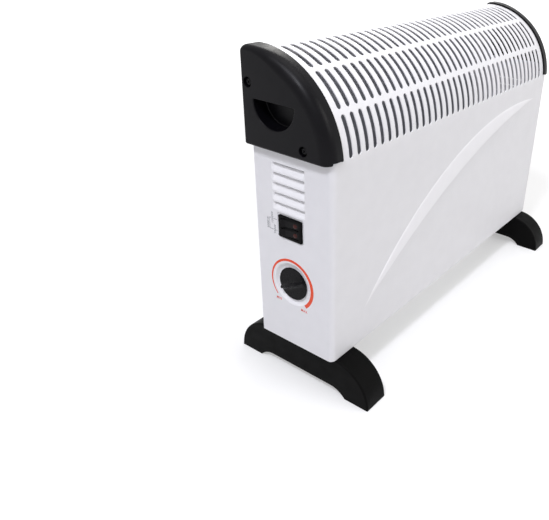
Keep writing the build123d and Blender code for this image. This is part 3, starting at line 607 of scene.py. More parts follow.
def casing_section(s, c):
    """Side view of the casing at s along the sheet from the roll's start: point and outward direction."""
    quarter = c.roll_radius * pi / 2
    crown = CASING_HIGH.z
    if s <= 0:
        return ROLL_Y - c.roll_radius, c.roll_start + s, -1.0, 0.0
    if s <= quarter:
        angle = s / c.roll_radius
        return (ROLL_Y - c.roll_radius * cos(angle), c.roll_start + c.roll_radius * sin(angle),
                -cos(angle), sin(angle))
    s -= quarter
    land = CROWN_LAND - c.rear_bend
    if s <= land:
        return ROLL_Y + s, crown, 0.0, 1.0
    s -= land
    bend = c.rear_bend * pi / 2
    if s <= bend:
        angle = s / c.rear_bend
        return (CASING_HIGH.y - c.rear_bend * (1 - sin(angle)), crown - c.rear_bend * (1 - cos(angle)),
                sin(angle), cos(angle))
    return CASING_HIGH.y, crown - c.rear_bend - (s - bend), 1.0, 0.0


def casing_point(x, s, c, depth=0.0):
    """Point on the casing's outside, or below it by depth."""
    y, z, out_y, out_z = casing_section(s, c)
    return x, y - depth * out_y, z - depth * out_z


def add_sheet(shape, c, across, levels):
    """Plain sheet between places across the casing and levels along it."""
    shape.loft([[casing_point(x, s, c) for x in across] for s in levels])


def slot_loop(half_width, half_length):
    """Points round a slot with round ends, anticlockwise from its right side's low end."""
    straight = half_length - half_width
    loop = [(half_width, -straight + 2 * straight * i / SIDE_STEPS) for i in range(SIDE_STEPS)]
    for i in range(END_STEPS):
        angle = pi * i / END_STEPS
        loop.append((half_width * cos(angle), straight + half_width * sin(angle)))
    return loop + [(-x, -s) for x, s in loop]


def cell_loop(half_pitch, half_cell, straight):
    """Points round a slot's rectangular share of the sheet, one for each point of the slot."""
    loop = [(half_pitch, -straight + 2 * straight * i / SIDE_STEPS) for i in range(SIDE_STEPS)]
    quarter = END_STEPS // 4
    for i in range(END_STEPS):
        if i <= quarter:
            loop.append((half_pitch, straight + (half_cell - straight) * i / quarter))
        elif i < 3 * quarter:
            loop.append((half_pitch * (1 - (i - quarter) / quarter), half_cell))
        else:
            loop.append((-half_pitch, half_cell - (half_cell - straight) * (i - 3 * quarter) / quarter))
    return loop + [(-x, -s) for x, s in loop]


def add_grille(shape, c):
    """The rolled top's slots with rounded edges; returns the grille's levels and its places across."""
    cell_angle = c.slot_angle + c.bridge_angle
    half_length = c.roll_radius * radians(c.slot_angle / 2)
    half_cell = c.roll_radius * radians(cell_angle / 2)
    half_width = c.slot_width / 2
    half_pitch = c.slot_pitch / 2
    cell = cell_loop(half_pitch, half_cell, half_length - half_width)
    lips = [*quarter_round(c.lip_radius, BEND_ANGLES), (0.0, c.lip_depth)]
    rings = [slot_loop(half_width + reach, half_length + reach) for reach, _ in lips]
    centres = [(i - (c.slot_count - 1) / 2) * c.slot_pitch for i in range(c.slot_count)]
    levels = set()
    for row in range(c.slot_rows):
        middle = c.roll_radius * radians(c.first_angle + c.slot_angle / 2 + row * cell_angle)
        for centre in centres:
            rows = [[casing_point(centre + x, middle + s, c) for x, s in cell]]
            for ring, (_, depth) in zip(rings, lips):
                rows.append([casing_point(centre + x, middle + s, c, depth) for x, s in ring])
            shape.loft(rows, closed=True)
        levels |= {round(middle + s, 6) for x, s in cell if x == half_pitch}
    across = {round(centre + step * half_pitch / 2, 6) for centre in centres for step in range(-2, 3)}
    return sorted(levels), sorted(across)


def build_casing(c):
    """The whole casing as one sheet."""
    shape = Shape()
    levels, across = add_grille(shape, c)
    half = CASING_HIGH.x
    corner = half - c.front_corner
    edge = across[-1]
    quarter = c.roll_radius * pi / 2
    back_edge = quarter + CROWN_LAND - c.rear_bend
    bend = c.rear_bend * pi / 2
    under = between(0.0, levels[0], 2)
    over = between(levels[-1], quarter, 3)
    top = [quarter, *between(back_edge, back_edge + bend, 5), back_edge + bend + c.skirt - c.rear_bend]
    for run in (under, over, top):
        add_sheet(shape, c, across, run)
    beside = sorted({*under, *levels, *over, *top})
    wrap = [s for s in beside if s <= levels[2]]
    outer = beside[len(wrap) - 1:]
    for side in (-1, 1):
        add_sheet(shape, c, [side * x for x in (edge, (edge + corner) / 2, corner)], beside)
        add_sheet(shape, c, (side * corner, side * half), outer)
        add_corner(shape, c, side, wrap)
        add_end(shape, c, side, wrap)
    add_front(shape, c, across)
    add_bottom(shape, c)
    return shape


def corner_columns(c, side):
    """Plan of an upright front corner: x, distance behind the front, outward direction."""
    half = CASING_HIGH.x
    columns = []
    for i in range(9):
        angle = radians(90 * i / 8)
        columns.append((side * (half - c.front_corner * (1 - sin(angle))), c.front_corner * (1 - cos(angle)),
                        side * sin(angle), -cos(angle)))
    return columns


def add_corner(shape, c, side, wrap):
    """Upright round corner from the bottom fold to just inside the cap."""
    levels = [CASING_LOW.z + c.bottom_bend - c.roll_start] + wrap
    rows = []
    for s in levels:
        _, y, z = casing_point(0, s, c)
        rows.append([(x, y + back, z) for x, back, _, _ in corner_columns(c, side)])
    shape.loft(rows)


def crescent_rows(c):
    """Rows across the raised crescent: x, z and height over the front."""
    least_half, fade_share = 0.02, 0.12
    rows = []
    for t in between(0, 1, 140):
        angle = radians(c.crescent_low + (c.crescent_high - c.crescent_low) * t)
        half = c.crescent_width / 2 * (1 - (2 * t - 1) ** 2) + least_half
        rise = c.crescent_rise * blend_step(min(t, 1 - t) / fade_share)
        bevel = min(1.1, half * 0.4)
        profile = ((-half, 0.0), (-half + bevel * 0.3, 0.25), (-half + bevel, 1.0), (-half * 0.4, 0.94),
                   (half * 0.4, 0.72), (half - bevel, 0.6), (half - bevel * 0.3, 0.12), (half, 0.0))
        row = []
        for place, share in profile:
            radius = c.crescent_radius + place
            x, z = c.crescent_x + radius * cos(angle), c.crescent_z + radius * sin(angle)
            row.append((x, z, share * rise))
        rows.append(row)
    return rows


def add_front(shape, c, across):
    """Flat front with the raised crescent."""
    _, front, _ = casing_point(0, 0, c)
    low = CASING_LOW.z + c.bottom_bend
    corner = CASING_HIGH.x - c.front_corner
    middle = (across[-1] + corner) / 2
    top = [(x, c.roll_start) for x in [-corner, -middle, *across, middle, corner]]
    outline = [(-corner, low), (corner, low), *reversed(top)]
    rows = crescent_rows(c)
    hole = [row[0][:2] for row in rows] + [p[:2] for p in rows[-1][1:-1]]
    hole += [row[-1][:2] for row in reversed(rows)] + [p[:2] for p in reversed(rows[0][1:-1])]
    shape.flat(outline, [hole], lambda x, z: (x, front, z))
    # The crescent takes the whiter second finish: a painted highlight, brighter than its slight tilt alone
    # makes it
    shape.loft([[(x, front - rise, z) for x, z, rise in row] for row in rows], mark=1)


def add_bottom(shape, c):
    """Fold and flange along the bottom of the front and both ends."""
    _, front, _ = casing_point(0, 0, c)
    back = CASING_HIGH.y - c.sheet - SEAM_GAP
    half = CASING_HIGH.x
    base = CASING_LOW.z
    profile = [(drop, base + rise) for rise, drop in quarter_round(c.bottom_bend, BEND_ANGLES)]
    left, right = ([(x, front + y, dx, dy) for x, y, dx, dy in corner_columns(c, side)] for side in (-1, 1))
    narrow = c.front_corner - 1.0
    runs = (
        ([(-half, back, -1, 0), left[-1]], c.flange),
        (left[::-1], narrow),
        ([left[0], right[0]], c.flange),
        (right, narrow),
        ([right[-1], (half, back, 1, 0)], c.flange),
    )
    for run, flange in runs:
        shape.loft([[(x - dx * offset, y - dy * offset, z) for x, y, dx, dy in run]
                    for offset, z in [*profile, (flange, base)]])


LOUVRE_RUN_OUT = 2.8
LOUVRE_LIP = ((1.3, 0.0), (0.65, 0.0875), (0.0, 0.35))
LOUVRE_DROPS = (3.2, 4.2, 5.4, 6.8, 8.2)


def louvre_rows(c, top, side):
    """Rows of one louvre seen square on: y, z and height over the end, above its slit and below it."""
    half = c.louvre_length / 2
    ends = between(0.0, LOUVRE_RUN_OUT, 4)
    places = [-half + d for d in ends] + [-half * 0.5, 0.0, half * 0.5] + [half - d for d in reversed(ends)]
    shares = [blend_step((half - abs(a)) / LOUVRE_RUN_OUT) for a in places]
    above = []
    for rise, height in LOUVRE_LIP:
        above.append([(c.louvre_y + a, top + rise, height * share) for a, share in zip(places, shares)])
    low = c.louvre_height
    gap = c.louvre_gap if side < 0 else c.right_louvre_gap
    pressed = c.louvre_depth if side < 0 else c.right_louvre_depth
    below = []
    for drop in (gap, *LOUVRE_DROPS, low):
        t = (low - drop) / (low - gap)
        depth = pressed * (0.75 * t + 0.25 * blend_step(t))
        below.append([(c.louvre_y + a, top - (drop if drop > gap else drop * share), -depth * share)
                      for a, share in zip(places, shares)])
    return above, below


def loop_of(rows):
    """Closed loop round a grid of rows."""
    right = [row[-1] for row in rows[1:]]
    left = [row[0] for row in reversed(rows[1:-1])]
    return [p[:2] for p in rows[0] + right + rows[-1][-2::-1] + left]


CAP_TONGUE = 17.5


def add_end(shape, c, side, wrap):
    """One end of the casing with its louvres, and on the left the switch press and the dish."""

    def place(y, z, rise=0.0):
        return side * (CASING_HIGH.x + rise), y, z

    def add(rows, closed=False, mark=0):
        shape.loft([[place(*p) for p in row] for row in rows], closed, mark)

    _, front, _ = casing_point(0, 0, c)
    low = CASING_LOW.z + c.bottom_bend
    back = CASING_HIGH.y - c.sheet - SEAM_GAP
    tongue = CAP_LOW.z + CAP_TONGUE
    outline = [(back, low), (front + c.front_corner, low)]
    for s in wrap:
        _, y, z = casing_point(0, s, c)
        outline.append((y + c.front_corner, z))
    outline += [(front + c.flange, outline[-1][1]), (front + c.flange, tongue), (back, tongue)]
    holes = []
    for index in range(c.louvre_count):
        upper, lower = louvre_rows(c, c.louvre_top - index * c.louvre_pitch, side)
        add(upper)
        # The ramps under the slits take the whiter second finish, a painted highlight where they face up to
        # the light
        add(lower, mark=1)
        holes.append(loop_of(upper + lower))
    if side < 0:
        # The dish takes the whiter second finish, a painted highlight over its slope; the pressed recess
        # keeps the casing paint
        for rows, mark in ((dish_rows(c), 1), (press_rows(c), 0)):
            add(rows, closed=True, mark=mark)
            holes.append([p[:2] for p in rows[0]])
    shape.flat(outline, holes, place)


DISH_BORE = 4.8
DISH_FLOOR = 3.0
# In from the dish's mouth, and how deep
DISH_PROFILE = ((0.0, 0.0), (0.5, 0.05), (1.0, 0.22), (1.5, 0.5), (2.2, 1.15), (2.9, 1.8), (3.5, 2.3),
                (4.2, 2.7), (5.0, 2.93), (6.0, DISH_FLOOR))


def dish_rows(c):
    """Shallow dish round the knob, with the hole for the bush."""
    profile = [*DISH_PROFILE, (c.dish_radius - DISH_BORE, DISH_FLOOR)]
    rows = []
    for reach, drop in profile:
        loop = circle(c.dish_radius - reach, 96, KNOB_Y, KNOB_Z)
        rows.append([(*p, -drop * c.dish_depth / DISH_FLOOR) for p in loop])
    return rows


PRESS_FLOOR = 1.2
PRESS_PROFILE = ((0.0, 0.0), (0.25, 0.08), (0.6, 0.35), (0.95, 0.75), (1.3, 1.08), (1.6, PRESS_FLOOR))


def press_rows(c):
    """Rectangular pressed recess round the switch, with its opening."""
    y0, y1, z0, z1 = SWITCH_LOW.y, SWITCH_HIGH.y, SWITCH_LOW.z, SWITCH_HIGH.z
    m = c.press_margin
    rows = []
    for reach, drop in PRESS_PROFILE:
        loop = rounded_box(y0 - m + reach, y1 + m - reach, z0 - m * 0.6 + reach, z1 + m - reach, 2.4 - reach)
        rows.append([(*p, -drop * c.press_depth / PRESS_FLOOR) for p in loop])
    opening = rounded_box(y0 + 1.8, y1 - 1.8, z0 + 1.6, z1 - 1.6, 0.5)
    rows.append([(*p, -c.press_depth) for p in opening])
    return rows


# Caps and feet

def fillet_inset(radius, below):
    """How far a fillet has drawn in the outline at a depth below the face."""
    if below >= radius:
        return 0.0
    return radius - sqrt(radius ** 2 - (radius - below) ** 2)


ARC_STEPS = 56
REAR_STEPS = 10
BACK_STEPS = 8
CAP_BAND_POINTS = ARC_STEPS + 1 + REAR_STEPS + BACK_STEPS
CROWN_FROM = 60
BASE_EDGE_SHARE = 0.9


def cap_ring(m, below):
    """Cap's outline, seen from the side, at a depth below its face, from the front bottom corner upwards."""
    top, back, bottom = CAP_HIGH.z, CAP_HIGH.y, CAP_LOW.z
    radius = ROLL_Y - CAP_LOW.y
    centre_z = top - radius
    small, large, crown = m.cap_small_edge, m.cap_edge, m.cap_crown_edge
    base_inset = fillet_inset(small * BASE_EDGE_SHARE, below)
    low = bottom + base_inset
    turned = m.cap_front_corner
    start = asin((low + turned - centre_z) / (radius - fillet_inset(large, below)))
    ring = []
    for angle in between(start, pi / 2, ARC_STEPS):
        edge = large + (crown - large) * blend_step((degrees(angle) - CROWN_FROM) / (90 - CROWN_FROM))
        reach = radius - fillet_inset(edge, below)
        ring.append((ROLL_Y - reach * cos(angle), centre_z + reach * sin(angle)))
    corner = m.cap_rear_corner
    for angle in between(0, pi / 2, REAR_STEPS)[1:]:
        edge = small + (crown - small) * (1 - blend_step(angle / (pi / 2)))
        reach = corner - fillet_inset(edge, below)
        ring.append((back - corner + reach * sin(angle), top - corner + reach * cos(angle)))
    for z in between(top - corner, bottom + small, BACK_STEPS)[1:]:
        ring.append((back - fillet_inset(small, below), z))
    reach = small - base_inset
    for angle in between(0, pi / 2, 6)[1:]:
        ring.append((back - small + reach * cos(angle), bottom + small - reach * sin(angle)))
    front = ring[0][0]
    for y in between(back - small, front + turned, 12)[1:]:
        ring.append((y, low))
    for angle in between(0, pi / 2, 6)[1:-1]:
        ring.append((front + turned * (1 - sin(angle)), low + turned * (1 - cos(angle))))
    return ring


CAP_FACE = -CAP_LOW.x
CAP_EDGE = -CAP_HIGH.x
CAP_INNER = CASING_HIGH.x + 0.3
CAP_SHELL = CAP_FACE - CAP_INNER
LINING_GAP = 0.2
RECESS_DRAFT = 0.4
# Radius and depth
SCREW_WELL = ((5.6, 0.0), (5.35, 0.1), (5.2, 0.35), (5.1, 4.4), (2.2, 4.4))
CUP_WALL = 2.2
CUP_BEVEL = 1.6


def build_cap(m, side):
    """End cap: filleted shell, band over the roll, finger recess and counterbored screw holes."""
    shape = Shape()
    depths = [0.0, 0.06, 0.25, 0.6, 1.05, 1.6, m.cap_small_edge, 3.6, 4.8, 5.9, CAP_SHELL]
    rings = [cap_ring(m, below) for below in depths]
    face, loop = rings[0], rings[-1]

    def wall(x, outline, holes):
        shape.flat(outline, holes, lambda y, z: (side * x, y, z))

    shape.loft([at_x(side * (CAP_FACE - below), ring) for below, ring in zip(depths, rings)], closed=True)
    lining = add_cap_band(shape, m, side)
    add_cap_nub(shape, side, loop[0][1])

    recess = [(-reach, drop) for reach, drop in quarter_round(m.recess_mouth, (0, 30, 60, 90))]
    for rise, drawn in quarter_round(m.recess_fillet, between(0, 90, 6)):
        recess.append((RECESS_DRAFT + drawn, m.recess_depth - rise))
    rows = [at_x(side * (CAP_FACE - drop), recess_loop(m, -drawn)) for drawn, drop in recess]
    shape.solid(rows, ends=[-1])
    holes = [recess_loop(m, m.recess_mouth)]
    for y, z in cap_screw_places():
        well = [at_x(side * (CAP_FACE - drop), circle(radius, 36, y, z)) for radius, drop in SCREW_WELL]
        shape.solid(well, ends=[-1])
        holes.append([p[1:] for p in well[0]])
    wall(CAP_FACE, face, holes)

    cup = recess_loop(m, CUP_WALL)
    lining_y = lining[0][0] + LINING_GAP
    rest = [p for p in loop[CAP_BAND_POINTS - 1:] if p[0] > lining_y]
    wall(CAP_INNER, lining + rest, [cup])
    patch = [rest[-1], *(p for p in loop[CAP_BAND_POINTS:] if p[0] < lining_y), loop[0], lining[0]]
    shape.face(shape.row(at_x(side * CAP_INNER, patch)))
    cup_end = CAP_FACE - m.recess_depth - CUP_WALL
    rows = [at_x(side * x, cup) for x in (CAP_INNER, cup_end + CUP_BEVEL)]
    shape.solid([*rows, at_x(side * cup_end, recess_loop(m, CUP_WALL - CUP_BEVEL))], ends=[-1])
    return shape


def add_cap_band(shape, m, side):
    """Cap's band over the roll, from the shell to its inner edge; returns its inner line."""
    band = []

    def add_row(x, inset, below):
        ring = cap_ring(m, below)
        moved = inward(ring, [inset] * len(ring))[:CAP_BAND_POINTS]
        moved[0] = (moved[0][0], ring[0][1])
        band.append(at_x(side * x, moved))

    for below in between(CAP_SHELL, m.cap_edge, 5):
        add_row(CAP_FACE - below, 0.0, below)
    for back_off, inset in ((0.9, 0.0), (0.45, 0.1), (0.12, 0.4), (0.0, 0.9)):
        add_row(CAP_EDGE + back_off, inset, m.cap_edge)
    lowered = cap_ring(m, m.cap_edge)
    inner = inward(lowered, [m.cap_wall] * len(lowered))
    front, back = CAP_LOW.y + m.cap_wall, CAP_HIGH.y - m.cap_wall - 1.0
    lining = [(min(max(y, front), back), z) for y, z in inner[:CAP_BAND_POINTS]]
    lining[0] = (lining[0][0], cap_ring(m, CAP_SHELL)[0][1])
    band += [at_x(side * x, lining) for x in (CAP_EDGE, CAP_INNER)]
    shape.loft(band)
    for end in (0, -1):
        shape.face(shape.row([row[end] for row in band]))
    return lining


NUB_PROFILE = ((5.0, 0.6), (4.7, -0.1), (4.0, -0.45), (3.0, -0.55), (2.0, -0.45), (1.3, -0.1), (1.0, 0.6))


def add_cap_nub(shape, side, base):
    """Small rounded lobe under the band's front end."""
    shape.solid([[(side * (CAP_EDGE + x), CAP_LOW.y + y, base + z) for x, z in NUB_PROFILE]
                 for y in (0.0, 0.15, 2.0)])


HEAD_RADIUS = 3.9
HEAD_HEIGHT = 2.2


def cap_screw_places():
    """Centres of the two screws on a cap, as the frame's own eight-sided screws have them."""
    low, high = node_box("cap_screws")
    reach = HEAD_RADIUS * cos(pi / 8)
    return (high.y - reach, high.z - reach), (low.y + reach, low.z + reach)


def recess_loop(m, grow):
    """Lower half disc with round corners, grown or shrunk, clockwise from its top left corner."""
    radius = m.recess_radius + grow
    top = m.recess_z + grow
    soft = max(1.5 + grow * 0.6, 0.4)
    loop = []
    for angles, side in ((between(0, 90, 5), 1), (between(90, 180, 5), -1)):
        for t in map(radians, angles):
            out = radius - soft * (1 - side * cos(t)) - 0.1
            loop.append((m.recess_y + side * out, top - soft * (1 - sin(t))))
    start = degrees(asin(min(soft / radius, 1.0))) * 1.1
    for t in map(radians, between(180 + start, 360 - start, 40)):
        loop.append((m.recess_y + radius * cos(t), m.recess_z + radius * sin(t)))
    return loop


SOLE_EDGE = 0.7
TOE_EDGE = 0.9


def foot_loop(m):
    """Side view of a foot with the fillet at each point, anticlockwise."""
    reach = -FOOT_LOW.y
    height = FOOT_HIGH.z
    toe = reach - height
    drop = m.arch_radius - m.arch_height
    arch_end = m.arch_half + sqrt(m.arch_radius ** 2 - drop ** 2)
    lowest = asin(drop / m.arch_radius)
    half = [(y, m.arch_height, SOLE_EDGE) for y in between(0, m.arch_half, 5)[:-1]]
    for angle in between(pi / 2, lowest, 10)[1:]:
        half.append((m.arch_half + m.arch_radius * cos(angle), m.arch_radius * sin(angle) - drop, SOLE_EDGE))
    half += [((arch_end + reach) / 2, 0.0, SOLE_EDGE), (reach - 1.2, 0.0, SOLE_EDGE)]
    half.append((reach - 0.3, 0.35, TOE_EDGE))
    half += [(toe + height * cos(a), height * sin(a), m.foot_edge) for a in between(0.02, pi / 2, 28)]
    half += [(y, height, m.foot_edge) for y in between(toe, 0, 6)[1:]]
    return half + [(-y, z, edge) for y, z, edge in reversed(half[1:-1])]


def filleted_block(shape, outline, x0, x1):
    """Side view swept from x0 to x1 with its own fillet at each point, both sides filled."""
    loop = [(a, b) for a, b, _ in outline]
    fillets = [f for _, _, f in outline]
    angles = (90, 72, 54, 36, 18, 0)
    rows = []
    for x, side, turns in ((x0, 1, angles), (x1, -1, angles[::-1])):
        for t in map(radians, turns):
            moved = inward(loop, [f * (1 - cos(t)) for f in fillets])
            rows.append([(x + side * f * (1 - sin(t)), a, b) for (a, b), f in zip(moved, fillets)])
    shape.loft(rows, closed=True)
    for x in (x0, x1):
        shape.flat(inward(loop, fillets), [], lambda a, b, x=x: (x, a, b))


def build_foot(m, side):
    """Foot with soft edges, and the cutter for its hollow underside."""
    shape = Shape()
    near, far = sorted((-side * FOOT_LOW.x, -side * FOOT_HIGH.x))
    filleted_block(shape, foot_loop(m), near, far)
    height = FOOT_HIGH.z
    toe = -FOOT_LOW.y - height
    inner = height - m.foot_wall
    loop = [(toe + inner, -1.0)] + [(toe + inner * cos(a), inner * sin(a)) for a in between(0, pi / 2, 20)]
    loop += [(-y, z) for y, z in reversed(loop)]
    hollow = Shape()
    hollow.solid([at_x(x, loop) for x in (near + m.foot_wall, far - m.foot_wall)])
    return shape, add_object("cutter", welded_mesh("cutter", hollow))


# Screws

SHANK_RADIUS = 1.9
SHANK_LENGTH = 3.0
CROSS_HALF = 0.5
CROSS_REACH = 2.1
# Shares of the head's radius and of its height
HEAD_PROFILE = ((1.0, 0.0), (1.0, 0.35), (0.96, 0.6), (0.84, 0.83), (0.66, 0.96))


def add_cross_screw(shape, place, direction):
    """Pan head screw with a cross recess; place is the head's underside, direction points into the work."""
    into = Vector(direction).normalized()
    side = into.orthogonal().normalized()
    up = into.cross(side)
    steps = 48

    def put(loop, height):
        return [tuple(Vector(place) - into * height + side * a + up * b) for a, b in loop]

    rows = [put(circle(SHANK_RADIUS, steps), height) for height in (-SHANK_LENGTH, 0.0)]
    rows += [put(circle(HEAD_RADIUS * reach, steps), HEAD_HEIGHT * rise) for reach, rise in HEAD_PROFILE]
    shape.solid(rows, ends=[0])
    arms = []
    tip = CROSS_HALF * 0.75
    for quarter in range(4):
        t = pi / 2 * quarter
        for a, b in ((CROSS_HALF, -CROSS_HALF), (CROSS_REACH, -tip), (CROSS_REACH, tip)):
            arms.append((a * cos(t) - b * sin(t), a * sin(t) + b * cos(t)))
    reach, rise = HEAD_PROFILE[-1]
    top = HEAD_HEIGHT * rise
    shape.flat(circle(HEAD_RADIUS * reach, steps), [arms], lambda a, b: put([(a, b)], top)[0])
    shape.solid([put(arms, top), put([(a * 0.6, b * 0.6) for a, b in arms], HEAD_HEIGHT * 0.25)], ends=[-1])


# Controls

# Knob: its round rim, the two scooped faces, the grip between them and the nub at its tail
KNOB_RIM = 1.3
SKIRT_INSET = 0.3
RIM_PROFILE = ((0.12, 0.25), (0.35, 0.4), (0.8, 0.4), (1.1, 0.25), (KNOB_RIM, -0.1), (KNOB_RIM, -0.6))
SHAFT_BORE = 3.2
BORE_END = 0.4
STEM_END = 0.7
SCOOP_REACH = 14.0
SCOOP_POWER = 7
GRIP_SPREAD = 0.15
GRIP_END = 1.4
HEAD_FROM, HEAD_FALL = 6, 0.55
TAIL_FROM, TAIL_FALL = 5, 0.12
EDGE_BAND, EDGE_FALL = 0.35, 0.12
NUB_GAP = 0.1


def knob_height(k, u, v):
    """Height over the knob's rim at v along the grip, towards its pointer, and u across it."""
    inner = k.knob_radius - KNOB_RIM
    across = abs(u)
    width = k.grip_width / 2 * (1.0 + GRIP_SPREAD * v / k.knob_radius)
    scooped = min(max((across - width) / (SCOOP_REACH - width), 0.0), 1.0)
    end = blend_step((inner - hypot(u, v)) / GRIP_END)
    end *= 1 - HEAD_FALL * blend_step((v - HEAD_FROM) / (inner - HEAD_FROM))
    end *= 1 - TAIL_FALL * blend_step((-v - TAIL_FROM) / (inner - TAIL_FROM))
    edge = EDGE_FALL * max(0.0, 1 - abs(across - width) / EDGE_BAND)
    grip = (k.grip_height * (1 - scooped) ** SCOOP_POWER - edge) * end
    tail = min(hypot(u, v + inner - k.nub_radius - NUB_GAP) / k.nub_radius, 1.0)
    return max(grip, k.nub_height * sqrt(1 - tail ** 4))


def build_knob(k):
    """Round knob with a narrow grip between two scooped faces, pointing upright and turned afterwards."""
    shape = Shape()
    inner = k.knob_radius - KNOB_RIM
    half_top = k.grip_width / 2
    nub = k.nub_radius
    side_lines = [0.0, half_top - 0.25, half_top, half_top + 0.2, half_top + 0.6]
    side_lines += [nub - 0.5, nub - 0.22, nub - 0.08, nub]
    side_lines += [inner * sin(radians(a)) for a in (10, 14, 19, 24, *range(30, 85, 6))]
    lines = sorted({round(side * v, 5) for v in side_lines for side in (1, -1)})
    columns = [sin(a * pi / 2) for a in between(-1, 1, 64)]
    rows = [[(sqrt(max(inner ** 2 - u ** 2, 0.0)) * a, u) for a in columns] for u in lines]
    front = -KNOB_LOW.x - k.knob_drop
    back = KNOB_HIGH.x
    shape.loft([[(-(front + knob_height(k, u, v)), u, v) for v, u in row] for row in rows])
    loop = [row[0] for row in rows] + rows[-1][1:-1] + [row[-1] for row in reversed(rows)] + rows[0][-2:0:-1]
    rim = [scale_to(p, inner) for p in loop]

    def round_rim(reach):
        return [(u * reach / inner, v * reach / inner) for v, u in rim]

    ring = [[(-front, u, v) for v, u in loop]]
    ring += [at_x(-(front + rise), round_rim(inner + reach)) for reach, rise in RIM_PROFILE]
    skirt = round_rim(k.knob_radius - SKIRT_INSET)
    shape.loft([*ring, at_x(back, skirt)], closed=True)
    bore = circle(SHAFT_BORE, 32)
    shape.flat(skirt, [bore], lambda a, b: (back, a, b))
    shape.solid([at_x(back, bore), at_x(-(front - BORE_END), bore)], ends=[-1])
    turn_knob(shape, k)
    return shape


def scale_to(point, radius):
    """A point moved onto a circle about the origin."""
    length = hypot(*point)
    return point[0] * radius / length, point[1] * radius / length


def turn_knob(shape, k):
    """Turn a shape made upright about the origin to the knob's place and rest angle."""
    c, s = cos(radians(k.knob_turn)), sin(radians(k.knob_turn))
    shape.points = [(x, KNOB_Y + y * c - z * s, KNOB_Z + y * s + z * c) for x, y, z in shape.points]


def build_stem(k):
    """Flatted shaft that ends inside the knob."""
    shape = Shape()
    _, high = node_box("thermostat_shaft")
    front = -KNOB_LOW.x - k.knob_drop - STEM_END
    flat = k.stem_radius * k.stem_flat
    shape.solid([[(-x, a, min(b, flat)) for a, b in circle(k.stem_radius + reach, 48)]
                 for reach, x in ((-0.5, front), (0.0, front - 0.5), (0.0, -high.x))])
    turn_knob(shape, k)
    return shape


DOT_PROFILE = ((1.25, -0.5), (1.25, 0.02), (1.12, 0.12), (0.98, 0.12), (0.86, 0.0), (0.8, -0.35))


def build_knob_dot(k):
    """Small ring set in the grip's pointing end."""
    shape = Shape()
    front = -KNOB_LOW.x - k.knob_drop + k.grip_height * k.dot_height
    shape.solid([[(-(front + rise), a * 0.86, k.dot_place + b) for a, b in circle(radius, 32)]
                 for radius, rise in DOT_PROFILE])
    turn_knob(shape, k)
    return shape


BEZEL_DEPTH = 2.4
# In from the outline or out from the opening, and how far behind the front
BEZEL_PROFILE = ((0.75, 0.0), (0.45, 0.06), (0.2, 0.22), (0.05, 0.5), (0.0, 0.8), (0.0, BEZEL_DEPTH))
OPENING_PROFILE = ((0.25, 0.0), (0.08, 0.08), (0.0, 0.25), (0.0, 9.4))
BEZEL_CORNER = 1.2
BODY_INSET_Y, BODY_INSET_Z = 2.0, 1.75
CLIP_INSET, CLIP_DEPTH = 1.9, 0.9


def build_bezel(k):
    """Switch bezel with two openings, and the body behind it."""
    shape = Shape()
    y0, y1, z0, z1 = SWITCH_LOW.y, SWITCH_HIGH.y, SWITCH_LOW.z, SWITCH_HIGH.z
    front = -SWITCH_LOW.x
    rows = []
    for reach, drop in BEZEL_PROFILE:
        loop = rounded_box(y0 + reach, y1 - reach, z0 + reach, z1 - reach, BEZEL_CORNER - reach * 0.6)
        rows.append(at_x(-(front - drop), loop))
    shape.loft(rows, closed=True)
    openings = []
    length, height = k.opening_length / 2, k.opening_height / 2
    for z in (SWITCH_Z - k.rocker_spacing / 2, SWITCH_Z + k.rocker_spacing / 2):
        opening = []
        for reach, drop in OPENING_PROFILE:
            loop = rounded_box(SWITCH_Y - length - reach, SWITCH_Y + length + reach, z - height - reach,
                               z + height + reach, 0.35 + reach)
            opening.append(at_x(-(front - drop), loop))
        shape.solid(opening, ends=[-1])
        openings.append([p[1:] for p in opening[0]])
    shape.flat([p[1:] for p in rows[0]], openings, lambda a, b: (-front, a, b))
    body = rounded_box(y0 + BODY_INSET_Y, y1 - BODY_INSET_Y, z0 + BODY_INSET_Z, z1 - BODY_INSET_Z, 0.5)
    rear_x = -(front - BEZEL_DEPTH)
    shape.flat([p[1:] for p in rows[-1]], [body], lambda a, b: (rear_x, a, b))
    shape.solid([at_x(rear_x, body), at_x(SWITCH_HIGH.x, body)], ends=[-1])
    for y, side in ((y0, -1), (y1, 1)):
        for z in (z0 + CLIP_INSET, z1 - CLIP_INSET):
            add_clip_nub(shape, y, z, side, front - CLIP_DEPTH)
    return shape


def add_clip_nub(shape, y, z, side, x):
    """Small rounded nub on the bezel's side."""
    rows = []
    for reach, share in ((0.0, 1.0), (0.35, 0.95), (0.6, 0.7), (0.72, 0.35)):
        half = 0.75 * share
        loop = rounded_box(-half, half, -half, half, 0.3 * share, 3)
        rows.append([(-(x + a), y + side * reach, z + b) for a, b in loop])
    shape.solid(rows)


ROCKER_END = 12.0
ROCKER_EDGE = 0.3
CREASE = 6.7
VALLEY = 2.9
RIGHT_TOP = 5.3
LEFT_TOP = 4.6
LEFT_REACH = 11.1
ROCKER_FROM, ROCKER_TO = -14, 194


def rocker_profile():
    """Side view of a rocker: along it, outwards, fillet."""
    right, left = (degrees(asin(top / ROCKER_END)) for top in (RIGHT_TOP, LEFT_TOP))
    loop = [(ROCKER_END * cos(t), ROCKER_END * sin(t)) for t in map(radians, between(ROCKER_FROM, right, 6))]
    start = loop[-1][0]
    for t in between(0, 1, 3)[1:]:
        loop.append((start + (CREASE - start) * t, RIGHT_TOP + (VALLEY - RIGHT_TOP) * t))
    end = -ROCKER_END * cos(radians(left))
    for t in between(0, 1, 5)[1:-1]:
        loop.append((CREASE + (end - CREASE) * t, VALLEY + (LEFT_TOP - VALLEY) * t))
    turns = between(180 - left, ROCKER_TO, 6)
    loop += [(ROCKER_END * cos(t), ROCKER_END * sin(t)) for t in map(radians, turns)]
    return [(*p, ROCKER_EDGE) for p in loop]


